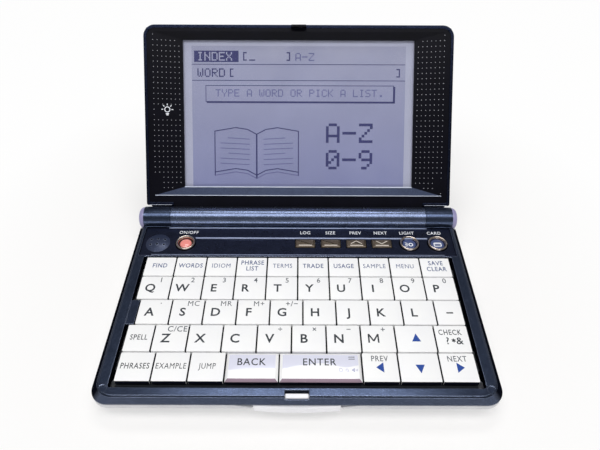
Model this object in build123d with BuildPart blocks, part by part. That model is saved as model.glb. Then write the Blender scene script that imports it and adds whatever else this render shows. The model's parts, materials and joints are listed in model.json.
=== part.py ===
"""Pocket electronic dictionary with a hinged lid, drawn open as it stands on a table.

All sizes are in millimetres.  +Z is up, -Y faces the user and X runs along the hinge.
The origin lies on the table, at the middle of the space that the open dictionary takes up.
Depths across the base are measured from the hinge axis, and so are lengths along the lid.
"""

import os
from math import asin, cos, radians, sin

from build123d import *

os.makedirs("parts", exist_ok=True)

# ---------------------------------------------------------------- driving dimensions
# Base.  A draft is how far an outline draws in from the seam to the deck or to the floor.
BASE_WIDTH = 144.0
DECK_DRAFT = 3.0
TRAY_DRAFT = 2.7
DECK_FRONT_DRAFT = 0.7
TRAY_FRONT_DRAFT = 4.5
DECK_BACK_DRAFT = 0.4
TRAY_BACK_DRAFT = 1.4
CORNER_RADIUS = 6.5
DECK_EDGE = 0.5
DECK_THICKNESS = 1.4
SEAM_DROP = 4.6
SEAM_GAP = 0.4
LIP_DEPTH = 2.4
FOOT_HEIGHT = 0.6
FLOOR_THICKNESS = 1.4
WALL = 1.2
SKIRT_ROOT = 0.84
SKIRT_THICKNESS = 0.8
SKIRT_REACH = 1.2
FIT = 0.15

# Hinge
HINGE_LIFT = 0.2
LID_OPEN = 130.0
BARREL_RADIUS = 5.2
BARREL_END_GAP = 0.2
KNUCKLE_LENGTH = 11.9
TROUGH_GAP = 0.3
TROUGH_WALL = 0.9
TROUGH_LIP = 1.5
TROUGH_LIP_THICKNESS = 0.8
REAR_RIM_DROP = 2.2
PIN_RADIUS = 1.25
PIN_REACH = 8.0
PIN_SEAT = 9.0
PIN_END_PLAY = 0.3
PIN_CLEARANCE = 0.04
CAP_RADIUS = 4.9
CAP_THICKNESS = 2.4
CAP_INSET = 0.7
CAP_DOME = 2.0

# Keyboard
WELL_SIDE = 3.9
WELL_FRONT_RIM = 3.3
WELL_SKIRT = 1.0
WELL_CORNER = 1.0
FIELD_SIDE_GAP = 1.43
FIELD_BACK_GAP = 0.86
FIELD_FRONT_GAP = 2.14
ROW_DEPTHS = [10.4, 11.7, 11.7, 11.8, 11.8]
KEY_COLUMNS = 10
KEY_GAP = 0.5
KEY_HEIGHT = 2.0
KEY_WALL = 0.8
KEY_CHAMFER = 0.35
KEY_TRAVEL = 1.0
WIDE_KEY_LIFT = 0.25
WIDE_KEY_CHAMFER = 0.9
HOME_ROW_SHIFT = 2.07
FILLER_DROP = 0.3
SPELL_WIDTH = 10.37
UP_ARROW_WIDTH = 14.7
BACK_WIDTH = 19.05
LEFT_ARROW_WIDTH = 12.95
RIGHT_ARROW_WIDTH = 13.04

# Rubber sheet and circuit board under the keys
SHEET_CLEARANCE = 0.4
SHEET_THICKNESS = 0.8
PEG_CLEARANCE = 0.3
PEG_PLAY = 0.1
BOARD_THICKNESS = 1.0
BOARD_GAP = 0.3
BOARD_EAR_GAP = 1.5
BOARD_EAR_BACK = 8.5
PROCESSOR_XY = (-20.0, -52.0)
PROCESSOR_SIZE = (20.0, 14.0, 1.4)
MEMORY_XYS = [(-46.0, -52.0), (-20.0, -34.0)]
MEMORY_SIZE = (12.0, 8.0, 1.1)
DRIVER_RADIUS = 4.0
DRIVER_HEIGHT = 2.2

# Control strip behind the keys
STRIP_SIDE = 1.5
STRIP_BACK_GAP = 0.25
STRIP_DEPTH = 16.85
STRIP_DROP = 0.5
STRIP_THICKNESS = 0.9
STEP_SETBACK = 10.7
STEP_RISE = 0.4
RIDGE_WIDTH = 1.0
RIDGE_BEVEL = 0.2
LEDGE_WIDTH = 0.5
LEDGE_DEPTH = 1.0
RIB_DEPTH = 2.0
RIB_SETBACK = 0.3
RIB_CLEARANCE = 0.1
BUTTON_SETBACK = 7.6
RING_RADIUS = 4.2
RING_BORE = 3.0
RING_HEIGHT = 1.0
SLEEVE_WALL = 0.4
SPEAKER_INSET = 6.7
POWER_INSET = 18.7
BACKLIGHT_INSET = 19.1
CARD_BUTTON_INSET = 6.9
POWER_BUTTON_RISE = 0.5
RECESSED_BUTTON_RISE = 0.15
BUTTON_CHAMFER = 0.3
BUTTON_TRAVEL = 0.5
BUTTON_PLAY = 0.3
SPEAKER_RADIUS = 5.2
SPEAKER_DOME = 1.1
SPEAKER_RIM = 1.0
SPEAKER_HOLE = 0.45
SPEAKER_PITCH = 2.9
BAR_BUTTON_COUNT = 4
BAR_BUTTON_PITCH = 11.07
BAR_BUTTON_GAP = 12.0
BAR_BUTTON_WIDTH = 8.6
BAR_BUTTON_DEPTH = 4.7
BAR_BUTTON_RISE = 0.6
BAR_BUTTON_CHAMFER = 0.4
LABEL_WIDTH = 18.2
LABEL_DEPTH = 3.9
LABEL_RECESS = 0.3

# Lid.  Insets say how far each outline lies inside the one before it.
LID_SIDE_INSET = 0.45
LID_FRONT_INSET = 0.9
LID_SIDE_DRAFT = 1.25
LID_TOP_DRAFT = 1.2
LID_BARREL_GAP = 0.6
LID_CORNER = 5.0
LID_FOOT_CORNER = 1.0
LID_HEEL = 1.1
LID_HEEL_RISE = 0.3
LID_GAP = 0.3
LID_DEPTH = 6.5
LID_ROUNDING = 2.0
LID_WALL = 1.1
ROUNDING_STEPS = 4
RIM_WIDTH = 1.3
TAB_SIDE_GAP = 0.7
TAB_CLEARANCE = 0.1
BEZEL_DROP = 0.15
BEZEL_DEPTH = 3.6
FUNNEL_SIDE = 3.85
FUNNEL_FOOT = 4.5
FUNNEL_HEAD = 2.9
FUNNEL_DEPTH = 2.4
SCREEN_WIDTH = 103.4
SCREEN_FOOT = 3.8
SCREEN_HEAD = 3.05
WINDOW_THICKNESS = 0.8
WINDOW_MARGIN = 1.4
PANEL_THICKNESS = 1.5
PANEL_MARGIN = 2.6
BUMPER_RADIUS = 0.6
BUMPER_HEIGHT = 0.4
DIMPLE_RADIUS = 1.5
DIMPLE_DEPTH = 0.2

# Latch: a rocking bar whose tongue holds the hook of the lid
SLOT_WIDTH = 8.4
SLOT_SETBACK = 0.15
SLOT_DEPTH = 2.45
NOTCH_DEPTH = 1.6
TONGUE_DEPTH = 1.55
TONGUE_DROP = 0.65
TONGUE_THICKNESS = 0.5
STEM_SETBACK = 0.4
STEM_THICKNESS = 0.6
PIVOT_LIFT = 0.6
PIVOT_SETBACK = 0.1
LATCH_PIN_RADIUS = 0.6
LATCH_PIN_LENGTH = 1.4
EAR_THICKNESS = 1.2
EAR_SETBACK = 0.6
EAR_PLAY = 0.1
LATCH_BAY_SETBACK = 0.4
LATCH_BAY_SIDE = 0.6
LATCH_BAY_UNDER = 0.7
BAR_WIDTH = 30.4
BAR_TOP_GAP = 0.2
BAR_DROP = 1.6
BAR_END_RISE = 0.2
BAR_BULGE = 0.8
BAR_CHAMFER = 0.4
THUMB_DIP = 1.6
THUMB_LENGTH = 6.7
THUMB_DEPTH = 0.84
HOOK_WIDTH = 6.4
HOOK_SETBACK = 0.23
HOOK_THICKNESS = 0.55
HOOK_NOSE = 0.55
HOOK_NOSE_DEPTH = 0.3
HOOK_TIP = 1.1
HOOK_SEAT = 0.1
HOOK_BASE_SETBACK = 0.38
HOOK_BASE_WIDTH = 1.3
HOOK_BASE_DEPTH = 2.0

# Cells and their bay
CELL_RADIUS = 5.25
CELL_LENGTH = 44.5
CELL_NUB_RADIUS = 1.9
CELL_NUB = 1.2
CELL_PLAY = 0.05
CELL_FLOOR_GAP = 0.1
CELL_HEADROOM = 0.5
CELL_SETBACK = 3.5
CELL_SIDE_GAP = 0.3
CELL_END_SPACE = 2.5
CONTACT_SPRING = 1.7
CONTACT_THICKNESS = 0.5
CONTACT_WIDTH = 5.0
CONTACT_STRIP = 3.0
CONTACT_LAP = 0.5
COVER_THICKNESS = 0.9
COVER_LEDGE = 1.5
COVER_FRONT_LEDGE = 1.35
COVER_BACK_INSET = 2.0
COVER_CORNER = 1.0
GRIP_GROOVES = 4
GRIP_WIDTH = 14.0
GRIP_PITCH = 1.8
GRIP_GROOVE = 0.8
GRIP_DEPTH = 0.3

# Memory card, fasteners and feet
CARD_WIDTH = 36.0
CARD_LENGTH = 41.0
CARD_THICKNESS = 3.0
CARD_SETBACK = 5.4
CARD_HEIGHT = 3.4
CARD_INSET = 1.6
CARD_CORNER = 1.0
CARD_SLOT_DEPTH = 4.0
CARD_GRIP_INSET = 2.5
CARD_GRIP_SIZE = (1.5, 14.4, 0.5)
RAIL_THICKNESS = 1.0
RAIL_BED = 3.0
SCREW_SIDE_INSET = 5.1
SCREW_FRONT_INSET = 11.0
SCREW_BACK_GAP = 1.9
SCREW_SHANK = 0.9
SCREW_HEAD = 1.6
SCREW_HEAD_DEPTH = 1.2
SCREW_LENGTH = 9.6
SCREW_TIP_PLAY = 0.3
SCREW_CROSS = (1.8, 0.4, 0.5)
BOSS_RADIUS = 2.3
POST_RADIUS = 1.6
POST_SIDE_INSET = 13.6
POST_MIDDLE_X = 12.0
POST_END_INSET = 2.86
POST_BACK_INSET = 3.75
FOOT_RADIUS = 3.0
FOOT_RECESS = 0.4
FOOT_CHAMFER = 0.25
FOOT_FRONT_INSET = 13.0
FOOT_BACK_INSET = 9.0

# ---------------------------------------------------------------- heights
COVER_TOP = FOOT_HEIGHT + COVER_THICKNESS
CELL_Z = COVER_TOP + CELL_FLOOR_GAP + CELL_RADIUS
STRIP_UNDER = CELL_Z + CELL_RADIUS + CELL_HEADROOM
STRIP_TOP = STRIP_UNDER + STRIP_THICKNESS
DECK_HEIGHT = STRIP_TOP + STRIP_DROP
HINGE_HEIGHT = DECK_HEIGHT + HINGE_LIFT
UNDER_DECK = DECK_HEIGHT - DECK_THICKNESS
SEAM_HEIGHT = DECK_HEIGHT - SEAM_DROP
SEAM_BOTTOM = SEAM_HEIGHT - SEAM_GAP / 2
SEAM_TOP = SEAM_HEIGHT + SEAM_GAP / 2
LIP_HEIGHT = SEAM_HEIGHT - LIP_DEPTH
FLOOR_TOP = FOOT_HEIGHT + FLOOR_THICKNESS
KEY_BOTTOM = DECK_HEIGHT - KEY_HEIGHT
WELL_BOTTOM = KEY_BOTTOM - KEY_TRAVEL
SHEET_TOP = WELL_BOTTOM - SHEET_CLEARANCE
BOARD_TOP = SHEET_TOP - SHEET_THICKNESS
BOARD_BOTTOM = BOARD_TOP - BOARD_THICKNESS
PEG_TOP = DECK_HEIGHT - KEY_WALL - KEY_TRAVEL - PEG_PLAY
BUTTON_FOOT = BOARD_TOP + BUTTON_TRAVEL + BUTTON_PLAY
RIB_BOTTOM = BOARD_TOP + RIB_CLEARANCE
SCREW_SEAT = FLOOR_TOP + SCREW_HEAD_DEPTH / 2
CARD_BED = CARD_HEIGHT - FIT
BAR_TOP = SEAM_BOTTOM - BAR_TOP_GAP
BAR_BOTTOM = LIP_HEIGHT - BAR_DROP
LATCH_BAY_FLOOR = BAR_BOTTOM - LATCH_BAY_UNDER
TONGUE_TOP = DECK_HEIGHT - TONGUE_DROP
TONGUE_UNDER = TONGUE_TOP - TONGUE_THICKNESS
PIVOT_HEIGHT = SEAM_TOP + PIVOT_LIFT

# ---------------------------------------------------------------- depths from the hinge axis
TROUGH_RADIUS = BARREL_RADIUS + TROUGH_GAP
BASE_BACK = TROUGH_RADIUS + TROUGH_WALL
DECK_BACK = BASE_BACK - DECK_BACK_DRAFT
FLOOR_BACK = BASE_BACK - TRAY_BACK_DRAFT
STRIP_BACK = TROUGH_RADIUS + STRIP_BACK_GAP
STRIP_FRONT = STRIP_BACK + STRIP_DEPTH
STRIP_STEP = STRIP_FRONT - STEP_SETBACK
RIB_FRONT = STRIP_FRONT + RIB_SETBACK
BUTTON_LINE = BUTTON_SETBACK - STRIP_FRONT
FIELD_BACK = STRIP_FRONT + FIELD_BACK_GAP
ROW_EDGES = [-FIELD_BACK - sum(ROW_DEPTHS[:row]) for row in range(len(ROW_DEPTHS) + 1)]
FIELD_FRONT = -ROW_EDGES[-1]
WELL_FRONT = FIELD_FRONT + FIELD_FRONT_GAP
DECK_FRONT = WELL_FRONT + WELL_FRONT_RIM
BASE_FRONT = DECK_FRONT + DECK_FRONT_DRAFT
FLOOR_FRONT = BASE_FRONT - TRAY_FRONT_DRAFT
CELL_Y = -BASE_BACK - CELL_SETBACK
BAY_FRONT = CELL_Y - CELL_RADIUS - CELL_SIDE_GAP
BAY_BACK = CELL_Y + CELL_RADIUS + CELL_SIDE_GAP
BOARD_BACK = RAIL_THICKNESS + BOARD_GAP - BAY_FRONT
COVER_FRONT = COVER_FRONT_LEDGE - BAY_FRONT
COVER_BACK = BASE_BACK - COVER_BACK_INSET
CARD_Y = -STRIP_FRONT - CARD_SETBACK - CARD_WIDTH / 2
SLOT_FRONT = DECK_FRONT - SLOT_SETBACK
SLOT_BACK = SLOT_FRONT - SLOT_DEPTH
LATCH_BAY_BACK = SLOT_BACK + LATCH_BAY_SETBACK
TONGUE_BACK = DECK_FRONT - TONGUE_DEPTH
STEM_BACK = TONGUE_BACK + STEM_SETBACK
STEM_FRONT = STEM_BACK + STEM_THICKNESS
PIVOT_Y = -STEM_BACK - PIVOT_SETBACK
BAR_END = BASE_FRONT + BAR_END_RISE
BAR_FRONT = BAR_END + BAR_BULGE

# ---------------------------------------------------------------- widths
DECK_WIDTH = BASE_WIDTH - 2 * DECK_DRAFT
FLOOR_WIDTH = BASE_WIDTH - 2 * TRAY_DRAFT
KNUCKLE_OUTER = BASE_WIDTH / 2 - CAP_INSET - CAP_THICKNESS
KNUCKLE_INNER = KNUCKLE_OUTER - KNUCKLE_LENGTH
KNUCKLE_MIDDLE = (KNUCKLE_OUTER + KNUCKLE_INNER) / 2
WELL_WIDTH = DECK_WIDTH - 2 * WELL_SIDE
FIELD_WIDTH = WELL_WIDTH - 2 * FIELD_SIDE_GAP
FIELD_LEFT = -FIELD_WIDTH / 2
COLUMN = FIELD_WIDTH / KEY_COLUMNS
STRIP_WIDTH = DECK_WIDTH - 2 * STRIP_SIDE
STRIP_OPENING = STRIP_WIDTH + FIT
SPEAKER_X = SPEAKER_INSET - STRIP_WIDTH / 2
POWER_X = POWER_INSET - STRIP_WIDTH / 2
BACKLIGHT_X = STRIP_WIDTH / 2 - BACKLIGHT_INSET
CARD_BUTTON_X = STRIP_WIDTH / 2 - CARD_BUTTON_INSET
LAST_BAR_X = BACKLIGHT_X - BAR_BUTTON_GAP
BAR_BUTTON_XS = [LAST_BAR_X - BAR_BUTTON_PITCH * place for place in range(BAR_BUTTON_COUNT)]
LABEL_X = (POWER_X + BAR_BUTTON_XS[-1]) / 2
BAY_HALF = CELL_LENGTH + CELL_END_SPACE
BAY_WALL = BAY_HALF + RAIL_THICKNESS
BOARD_EAR_INNER = BAY_WALL + BOARD_EAR_GAP
COVER_WIDTH = 2 * (BAY_HALF + COVER_LEDGE)
CARD_OUTER = BASE_WIDTH / 2 - CARD_INSET
CARD_INNER = CARD_OUTER - CARD_LENGTH
LATCH_BAY_WIDTH = BAR_WIDTH + 2 * LATCH_BAY_SIDE
TONGUE_WIDTH = SLOT_WIDTH - 4 * FIT
EAR_X = SLOT_WIDTH / 2 + EAR_THICKNESS / 2 + EAR_PLAY

# ---------------------------------------------------------------- lid, in its own plane
LEAN = radians(180.0 - LID_OPEN)
LID_FACE = HINGE_LIFT - LID_GAP
LID_BACK = LID_FACE - LID_DEPTH
LID_WIDTH = DECK_WIDTH - 2 * LID_SIDE_INSET
LID_BACK_WIDTH = LID_WIDTH - 2 * LID_SIDE_DRAFT
LID_BOTTOM = BARREL_RADIUS + LID_BARREL_GAP
LID_TOP = DECK_FRONT - LID_FRONT_INSET
LID_BACK_TOP = LID_TOP - LID_TOP_DRAFT
LID_HEEL_BOTTOM = LID_BOTTOM - LID_HEEL
LID_SHOULDER = LID_BACK + LID_ROUNDING + LID_HEEL_RISE
POCKET_CORNER = LID_CORNER - RIM_WIDTH
POCKET_FOOT_CORNER = LID_FOOT_CORNER / 2
TAB_HALF_WIDTH = KNUCKLE_INNER - TAB_SIDE_GAP
BEZEL_TOP = LID_FACE - BEZEL_DROP
BEZEL_BACK = LID_FACE - BEZEL_DEPTH
FUNNEL_WIDTH = LID_WIDTH - 2 * FUNNEL_SIDE
FUNNEL_BOTTOM = LID_BOTTOM + FUNNEL_FOOT
FUNNEL_TOP = LID_TOP - FUNNEL_HEAD
FUNNEL_FLOOR = LID_FACE - FUNNEL_DEPTH
SCREEN_BOTTOM = FUNNEL_BOTTOM + SCREEN_FOOT
SCREEN_TOP = FUNNEL_TOP - SCREEN_HEAD
BUMPER_SHIFT = (LID_CORNER - RIM_WIDTH / 2) * sin(radians(45)) - LID_CORNER
BUMPER_X = LID_WIDTH / 2 + BUMPER_SHIFT
BUMPER_S = LID_TOP + BUMPER_SHIFT
HOOK_BACK = SLOT_BACK + HOOK_SETBACK
HOOK_BASE_BOTTOM = HOOK_BACK - HOOK_BASE_SETBACK
HOOK_BASE_TOP = HOOK_BASE_BOTTOM + HOOK_BASE_WIDTH
HOOK_CATCH = HINGE_LIFT + TONGUE_DROP + TONGUE_THICKNESS + FIT
LID_REACH = (
    (LID_BACK_TOP - LID_ROUNDING) * cos(LEAN)
    - (LID_BACK + LID_ROUNDING) * sin(LEAN)
    + LID_ROUNDING
)
HINGE_Y = (BAR_FRONT - LID_REACH) / 2

# ---------------------------------------------------------------- repeated places
POWER_XY = (POWER_X, BUTTON_LINE)
BACKLIGHT_XY = (BACKLIGHT_X, BUTTON_LINE)
CARD_BUTTON_XY = (CARD_BUTTON_X, BUTTON_LINE)
RING_XYS = [POWER_XY, BACKLIGHT_XY, CARD_BUTTON_XY]
BAR_BUTTON_XYS = [(x, BUTTON_LINE) for x in BAR_BUTTON_XS]
SPEAKER_XY = (SPEAKER_X, BUTTON_LINE)
SCREW_X = BASE_WIDTH / 2 - SCREW_SIDE_INSET
SCREW_XYS = [(SCREW_X, SCREW_FRONT_INSET - BASE_FRONT), (SCREW_X, -STRIP_FRONT - SCREW_BACK_GAP)]
POST_YS = (POST_END_INSET - FIELD_FRONT, -BOARD_BACK - POST_BACK_INSET)
POST_XYS = [(x, y) for x in (FIELD_WIDTH / 2 - POST_SIDE_INSET, POST_MIDDLE_X) for y in POST_YS]
FOOT_X = (COVER_WIDTH + FLOOR_WIDTH) / 4
FOOT_XYS = [(FOOT_X, FOOT_FRONT_INSET - BASE_FRONT), (FOOT_X, FLOOR_BACK - FOOT_BACK_INSET)]

# Planes: base from above, base from the right, lid from its face, lid from the right
base_plane = Plane((0, HINGE_Y, 0))
side_plane = Plane(origin=(0, HINGE_Y, 0), x_dir=(0, 1, 0), z_dir=(1, 0, 0))
front_plane = Plane(origin=(0, HINGE_Y, 0), x_dir=(1, 0, 0), z_dir=(0, -1, 0))
lid_plane = Plane(
    origin=(0, HINGE_Y, HINGE_HEIGHT), x_dir=(1, 0, 0), z_dir=(0, -sin(LEAN), cos(LEAN))
)
lid_side = Plane(
    origin=(0, HINGE_Y, HINGE_HEIGHT), x_dir=(0, cos(LEAN), sin(LEAN)), z_dir=(1, 0, 0)
)


# ---------------------------------------------------------------- shared outlines
def band(plane, width, low, high, radius=0.0):
    """A rectangle across the middle, from low to high, with optional round corners."""
    with BuildSketch(plane) as outline:
        with Locations((0, (low + high) / 2)):
            if radius > 0:
                RectangleRounded(width, high - low, radius)
            else:
                Rectangle(width, high - low)
    return outline.sketch


def frame_band(plane, width, low, high, foot_radius, head_radius):
    """A rectangle like band, with a radius for its low corners and one for its high corners."""
    with BuildSketch(plane) as outline:
        with Locations((0, (low + high) / 2)):
            Rectangle(width, high - low)
        fillet(outline.vertices().group_by(Axis.Y)[-1], head_radius)
        fillet(outline.vertices().group_by(Axis.Y)[0], foot_radius)
    return outline.sketch


def patches(plane, places, width, depth):
    """Equal rectangles about a list of places."""
    with BuildSketch(plane) as outline:
        with Locations(*places):
            Rectangle(width, depth)
    return outline.sketch


def discs(plane, places, radius):
    """Equal discs about a list of places."""
    with BuildSketch(plane) as outline:
        with Locations(*places):
            Circle(radius)
    return outline.sketch


def corners(plane, points):
    """A closed outline through straight corners."""
    with BuildSketch(plane) as outline:
        with BuildLine():
            Polyline(*points, close=True)
        make_face()
    return outline.sketch


def both_sides(places):
    """Places on the right with their mirror images on the left."""
    return [(side * x, y) for x, y in places for side in (1, -1)]


def across(x, y, z):
    """A location on the base whose own Z axis runs along the hinge."""
    return Location((x, HINGE_Y + y, z), (0, 90, 0))


def blend(low, high, share):
    """The value at a share of the way from low to high."""
    return low + (high - low) * share


def tray_outline(z, inset=0.0):
    """The outline of the lower case at a height below its lip, moved inwards."""
    share = (z - FOOT_HEIGHT) / (LIP_HEIGHT - FOOT_HEIGHT)
    return band(
        base_plane.offset(z),
        blend(FLOOR_WIDTH, BASE_WIDTH, share) - 2 * inset,
        inset - blend(FLOOR_FRONT, BASE_FRONT, share),
        blend(FLOOR_BACK, BASE_BACK, share) - inset,
        CORNER_RADIUS - inset,
    )


def deck_outline(z, inset=0.0):
    """The outline of the upper case at a height above the seam, moved inwards."""
    share = (z - SEAM_TOP) / (DECK_HEIGHT - SEAM_TOP)
    return band(
        base_plane.offset(z),
        blend(BASE_WIDTH, DECK_WIDTH, share) - 2 * inset,
        inset - blend(BASE_FRONT, DECK_FRONT, share),
        blend(BASE_BACK, DECK_BACK, share) - inset,
        CORNER_RADIUS - inset,
    )


def rim_outline(z, inset):
    """The widest outline of the base at any height, moved inwards."""
    return band(
        base_plane.offset(z),
        BASE_WIDTH - 2 * inset,
        inset - BASE_FRONT,
        BASE_BACK - inset,
        CORNER_RADIUS - inset,
    )


def save(part, name):
    """Labels a finished node and writes its file."""
    part.label = name
    export_step(part, f"parts/{name}.step")


# ---------------------------------------------------------------- lower case
with BuildPart() as tray_hull:
    loft([tray_outline(FOOT_HEIGHT), tray_outline(LIP_HEIGHT)], ruled=True)
    extrude(rim_outline(LIP_HEIGHT, 0), amount=SEAM_BOTTOM - LIP_HEIGHT)

with BuildPart() as latch_housing:
    extrude(
        band(
            base_plane.offset(FOOT_HEIGHT),
            LATCH_BAY_WIDTH + 2 * WALL,
            -BASE_FRONT,
            WALL - LATCH_BAY_BACK,
        ),
        amount=SEAM_BOTTOM - FOOT_HEIGHT,
    )
    add(tray_hull.part, mode=Mode.INTERSECT)

with BuildPart() as lower_case:
    add(tray_hull.part)
    loft(
        [tray_outline(FLOOR_TOP, WALL), tray_outline(LIP_HEIGHT, WALL)],
        ruled=True,
        mode=Mode.SUBTRACT,
    )
    extrude(rim_outline(LIP_HEIGHT, WALL), amount=DECK_HEIGHT, mode=Mode.SUBTRACT)
    # posts under the circuit board, bosses round the screws
    extrude(
        discs(base_plane.offset(FLOOR_TOP), both_sides(POST_XYS), POST_RADIUS),
        amount=BOARD_BOTTOM - FLOOR_TOP,
    )
    extrude(
        discs(base_plane.offset(FLOOR_TOP), both_sides(SCREW_XYS), BOSS_RADIUS),
        amount=SEAM_BOTTOM - FLOOR_TOP,
    )
    # walls of the cell bay
    for low, high in [
        (BAY_FRONT - RAIL_THICKNESS, BAY_FRONT),
        (BAY_BACK, BAY_BACK + RAIL_THICKNESS),
    ]:
        extrude(
            band(base_plane.offset(FLOOR_TOP), 2 * BAY_WALL, low, high),
            amount=LIP_HEIGHT - FLOOR_TOP,
        )
    extrude(
        patches(
            base_plane.offset(FLOOR_TOP),
            both_sides([((BAY_HALF + BAY_WALL) / 2, CELL_Y)]),
            RAIL_THICKNESS,
            BAY_BACK - BAY_FRONT,
        ),
        amount=LIP_HEIGHT - FLOOR_TOP,
    )
    # beds that carry the memory card, and rails that guide it, out to the side wall
    rail_length = FLOOR_WIDTH / 2 - CARD_INNER
    rail_middle = CARD_INNER + rail_length / 2
    for side in (-1, 1):
        bed_y = CARD_Y + side * (CARD_WIDTH - RAIL_THICKNESS) / 2
        rail_y = CARD_Y + side * ((CARD_WIDTH + RAIL_THICKNESS) / 2 + FIT)
        extrude(
            patches(
                base_plane.offset(FLOOR_TOP), [(rail_middle, bed_y)], rail_length, RAIL_BED
            ),
            amount=CARD_BED - FLOOR_TOP,
        )
        extrude(
            patches(
                base_plane.offset(FLOOR_TOP),
                [(rail_middle, rail_y)],
                rail_length,
                RAIL_THICKNESS,
            ),
            amount=LIP_HEIGHT - FLOOR_TOP,
        )
    add(latch_housing.part)
    # openings: latch bay, thumb dips beside it, card slot, cell bay and cover seat
    extrude(
        band(
            base_plane.offset(LATCH_BAY_FLOOR),
            LATCH_BAY_WIDTH,
            -BASE_FRONT - WALL,
            -LATCH_BAY_BACK,
        ),
        amount=DECK_HEIGHT,
        mode=Mode.SUBTRACT,
    )
    for side in (-1, 1):
        extrude(
            corners(
                front_plane.offset(BASE_FRONT - THUMB_DEPTH),
                [
                    (side * LATCH_BAY_WIDTH / 2, SEAM_HEIGHT),
                    (side * (LATCH_BAY_WIDTH / 2 + THUMB_LENGTH), SEAM_HEIGHT),
                    (side * LATCH_BAY_WIDTH / 2, SEAM_HEIGHT - THUMB_DIP),
                ],
            ),
            amount=WALL,
            mode=Mode.SUBTRACT,
        )
    card_slot_inner = CARD_OUTER - CARD_SLOT_DEPTH
    card_slot_outer = BASE_WIDTH / 2 + WALL
    extrude(
        patches(
            base_plane.offset(CARD_BED),
            [((card_slot_inner + card_slot_outer) / 2, CARD_Y)],
            card_slot_outer - card_slot_inner,
            CARD_WIDTH + 2 * FIT,
        ),
        amount=CARD_THICKNESS + 2 * FIT,
        mode=Mode.SUBTRACT,
    )
    extrude(
        band(base_plane, 2 * BAY_HALF, BAY_FRONT, BAY_BACK),
        amount=FLOOR_TOP + FIT,
        mode=Mode.SUBTRACT,
    )
    extrude(
        band(base_plane, COVER_WIDTH + 2 * FIT, -COVER_FRONT - FIT, BASE_BACK + WALL),
        amount=COVER_TOP + FIT / 3,
        mode=Mode.SUBTRACT,
    )
    # holes for screws and seats for feet
    extrude(
        discs(base_plane, both_sides(SCREW_XYS), SCREW_SHANK + FIT),
        amount=DECK_HEIGHT,
        mode=Mode.SUBTRACT,
    )
    extrude(
        discs(base_plane, both_sides(SCREW_XYS), SCREW_HEAD + FIT),
        amount=SCREW_SEAT,
        mode=Mode.SUBTRACT,
    )
    extrude(
        discs(base_plane, both_sides(FOOT_XYS), FOOT_RADIUS + FIT),
        amount=FOOT_HEIGHT + FOOT_RECESS,
        mode=Mode.SUBTRACT,
    )
save(lower_case.part, "lower_case")

# ---------------------------------------------------------------- upper case
with BuildPart() as trough_wall:
    with BuildSketch(side_plane.offset(-KNUCKLE_INNER)):
        with Locations((0, HINGE_HEIGHT)):
            Circle(TROUGH_RADIUS + TROUGH_WALL)
        with Locations((0, UNDER_DECK)):
            Rectangle(
                2 * BASE_BACK,
                2 * BASE_BACK,
                align=(Align.CENTER, Align.MIN),
                mode=Mode.SUBTRACT,
            )
        with Locations((-TROUGH_RADIUS, UNDER_DECK)):
            Rectangle(2 * TROUGH_LIP, TROUGH_LIP_THICKNESS, align=(Align.CENTER, Align.MAX))
    extrude(amount=2 * KNUCKLE_INNER)

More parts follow.
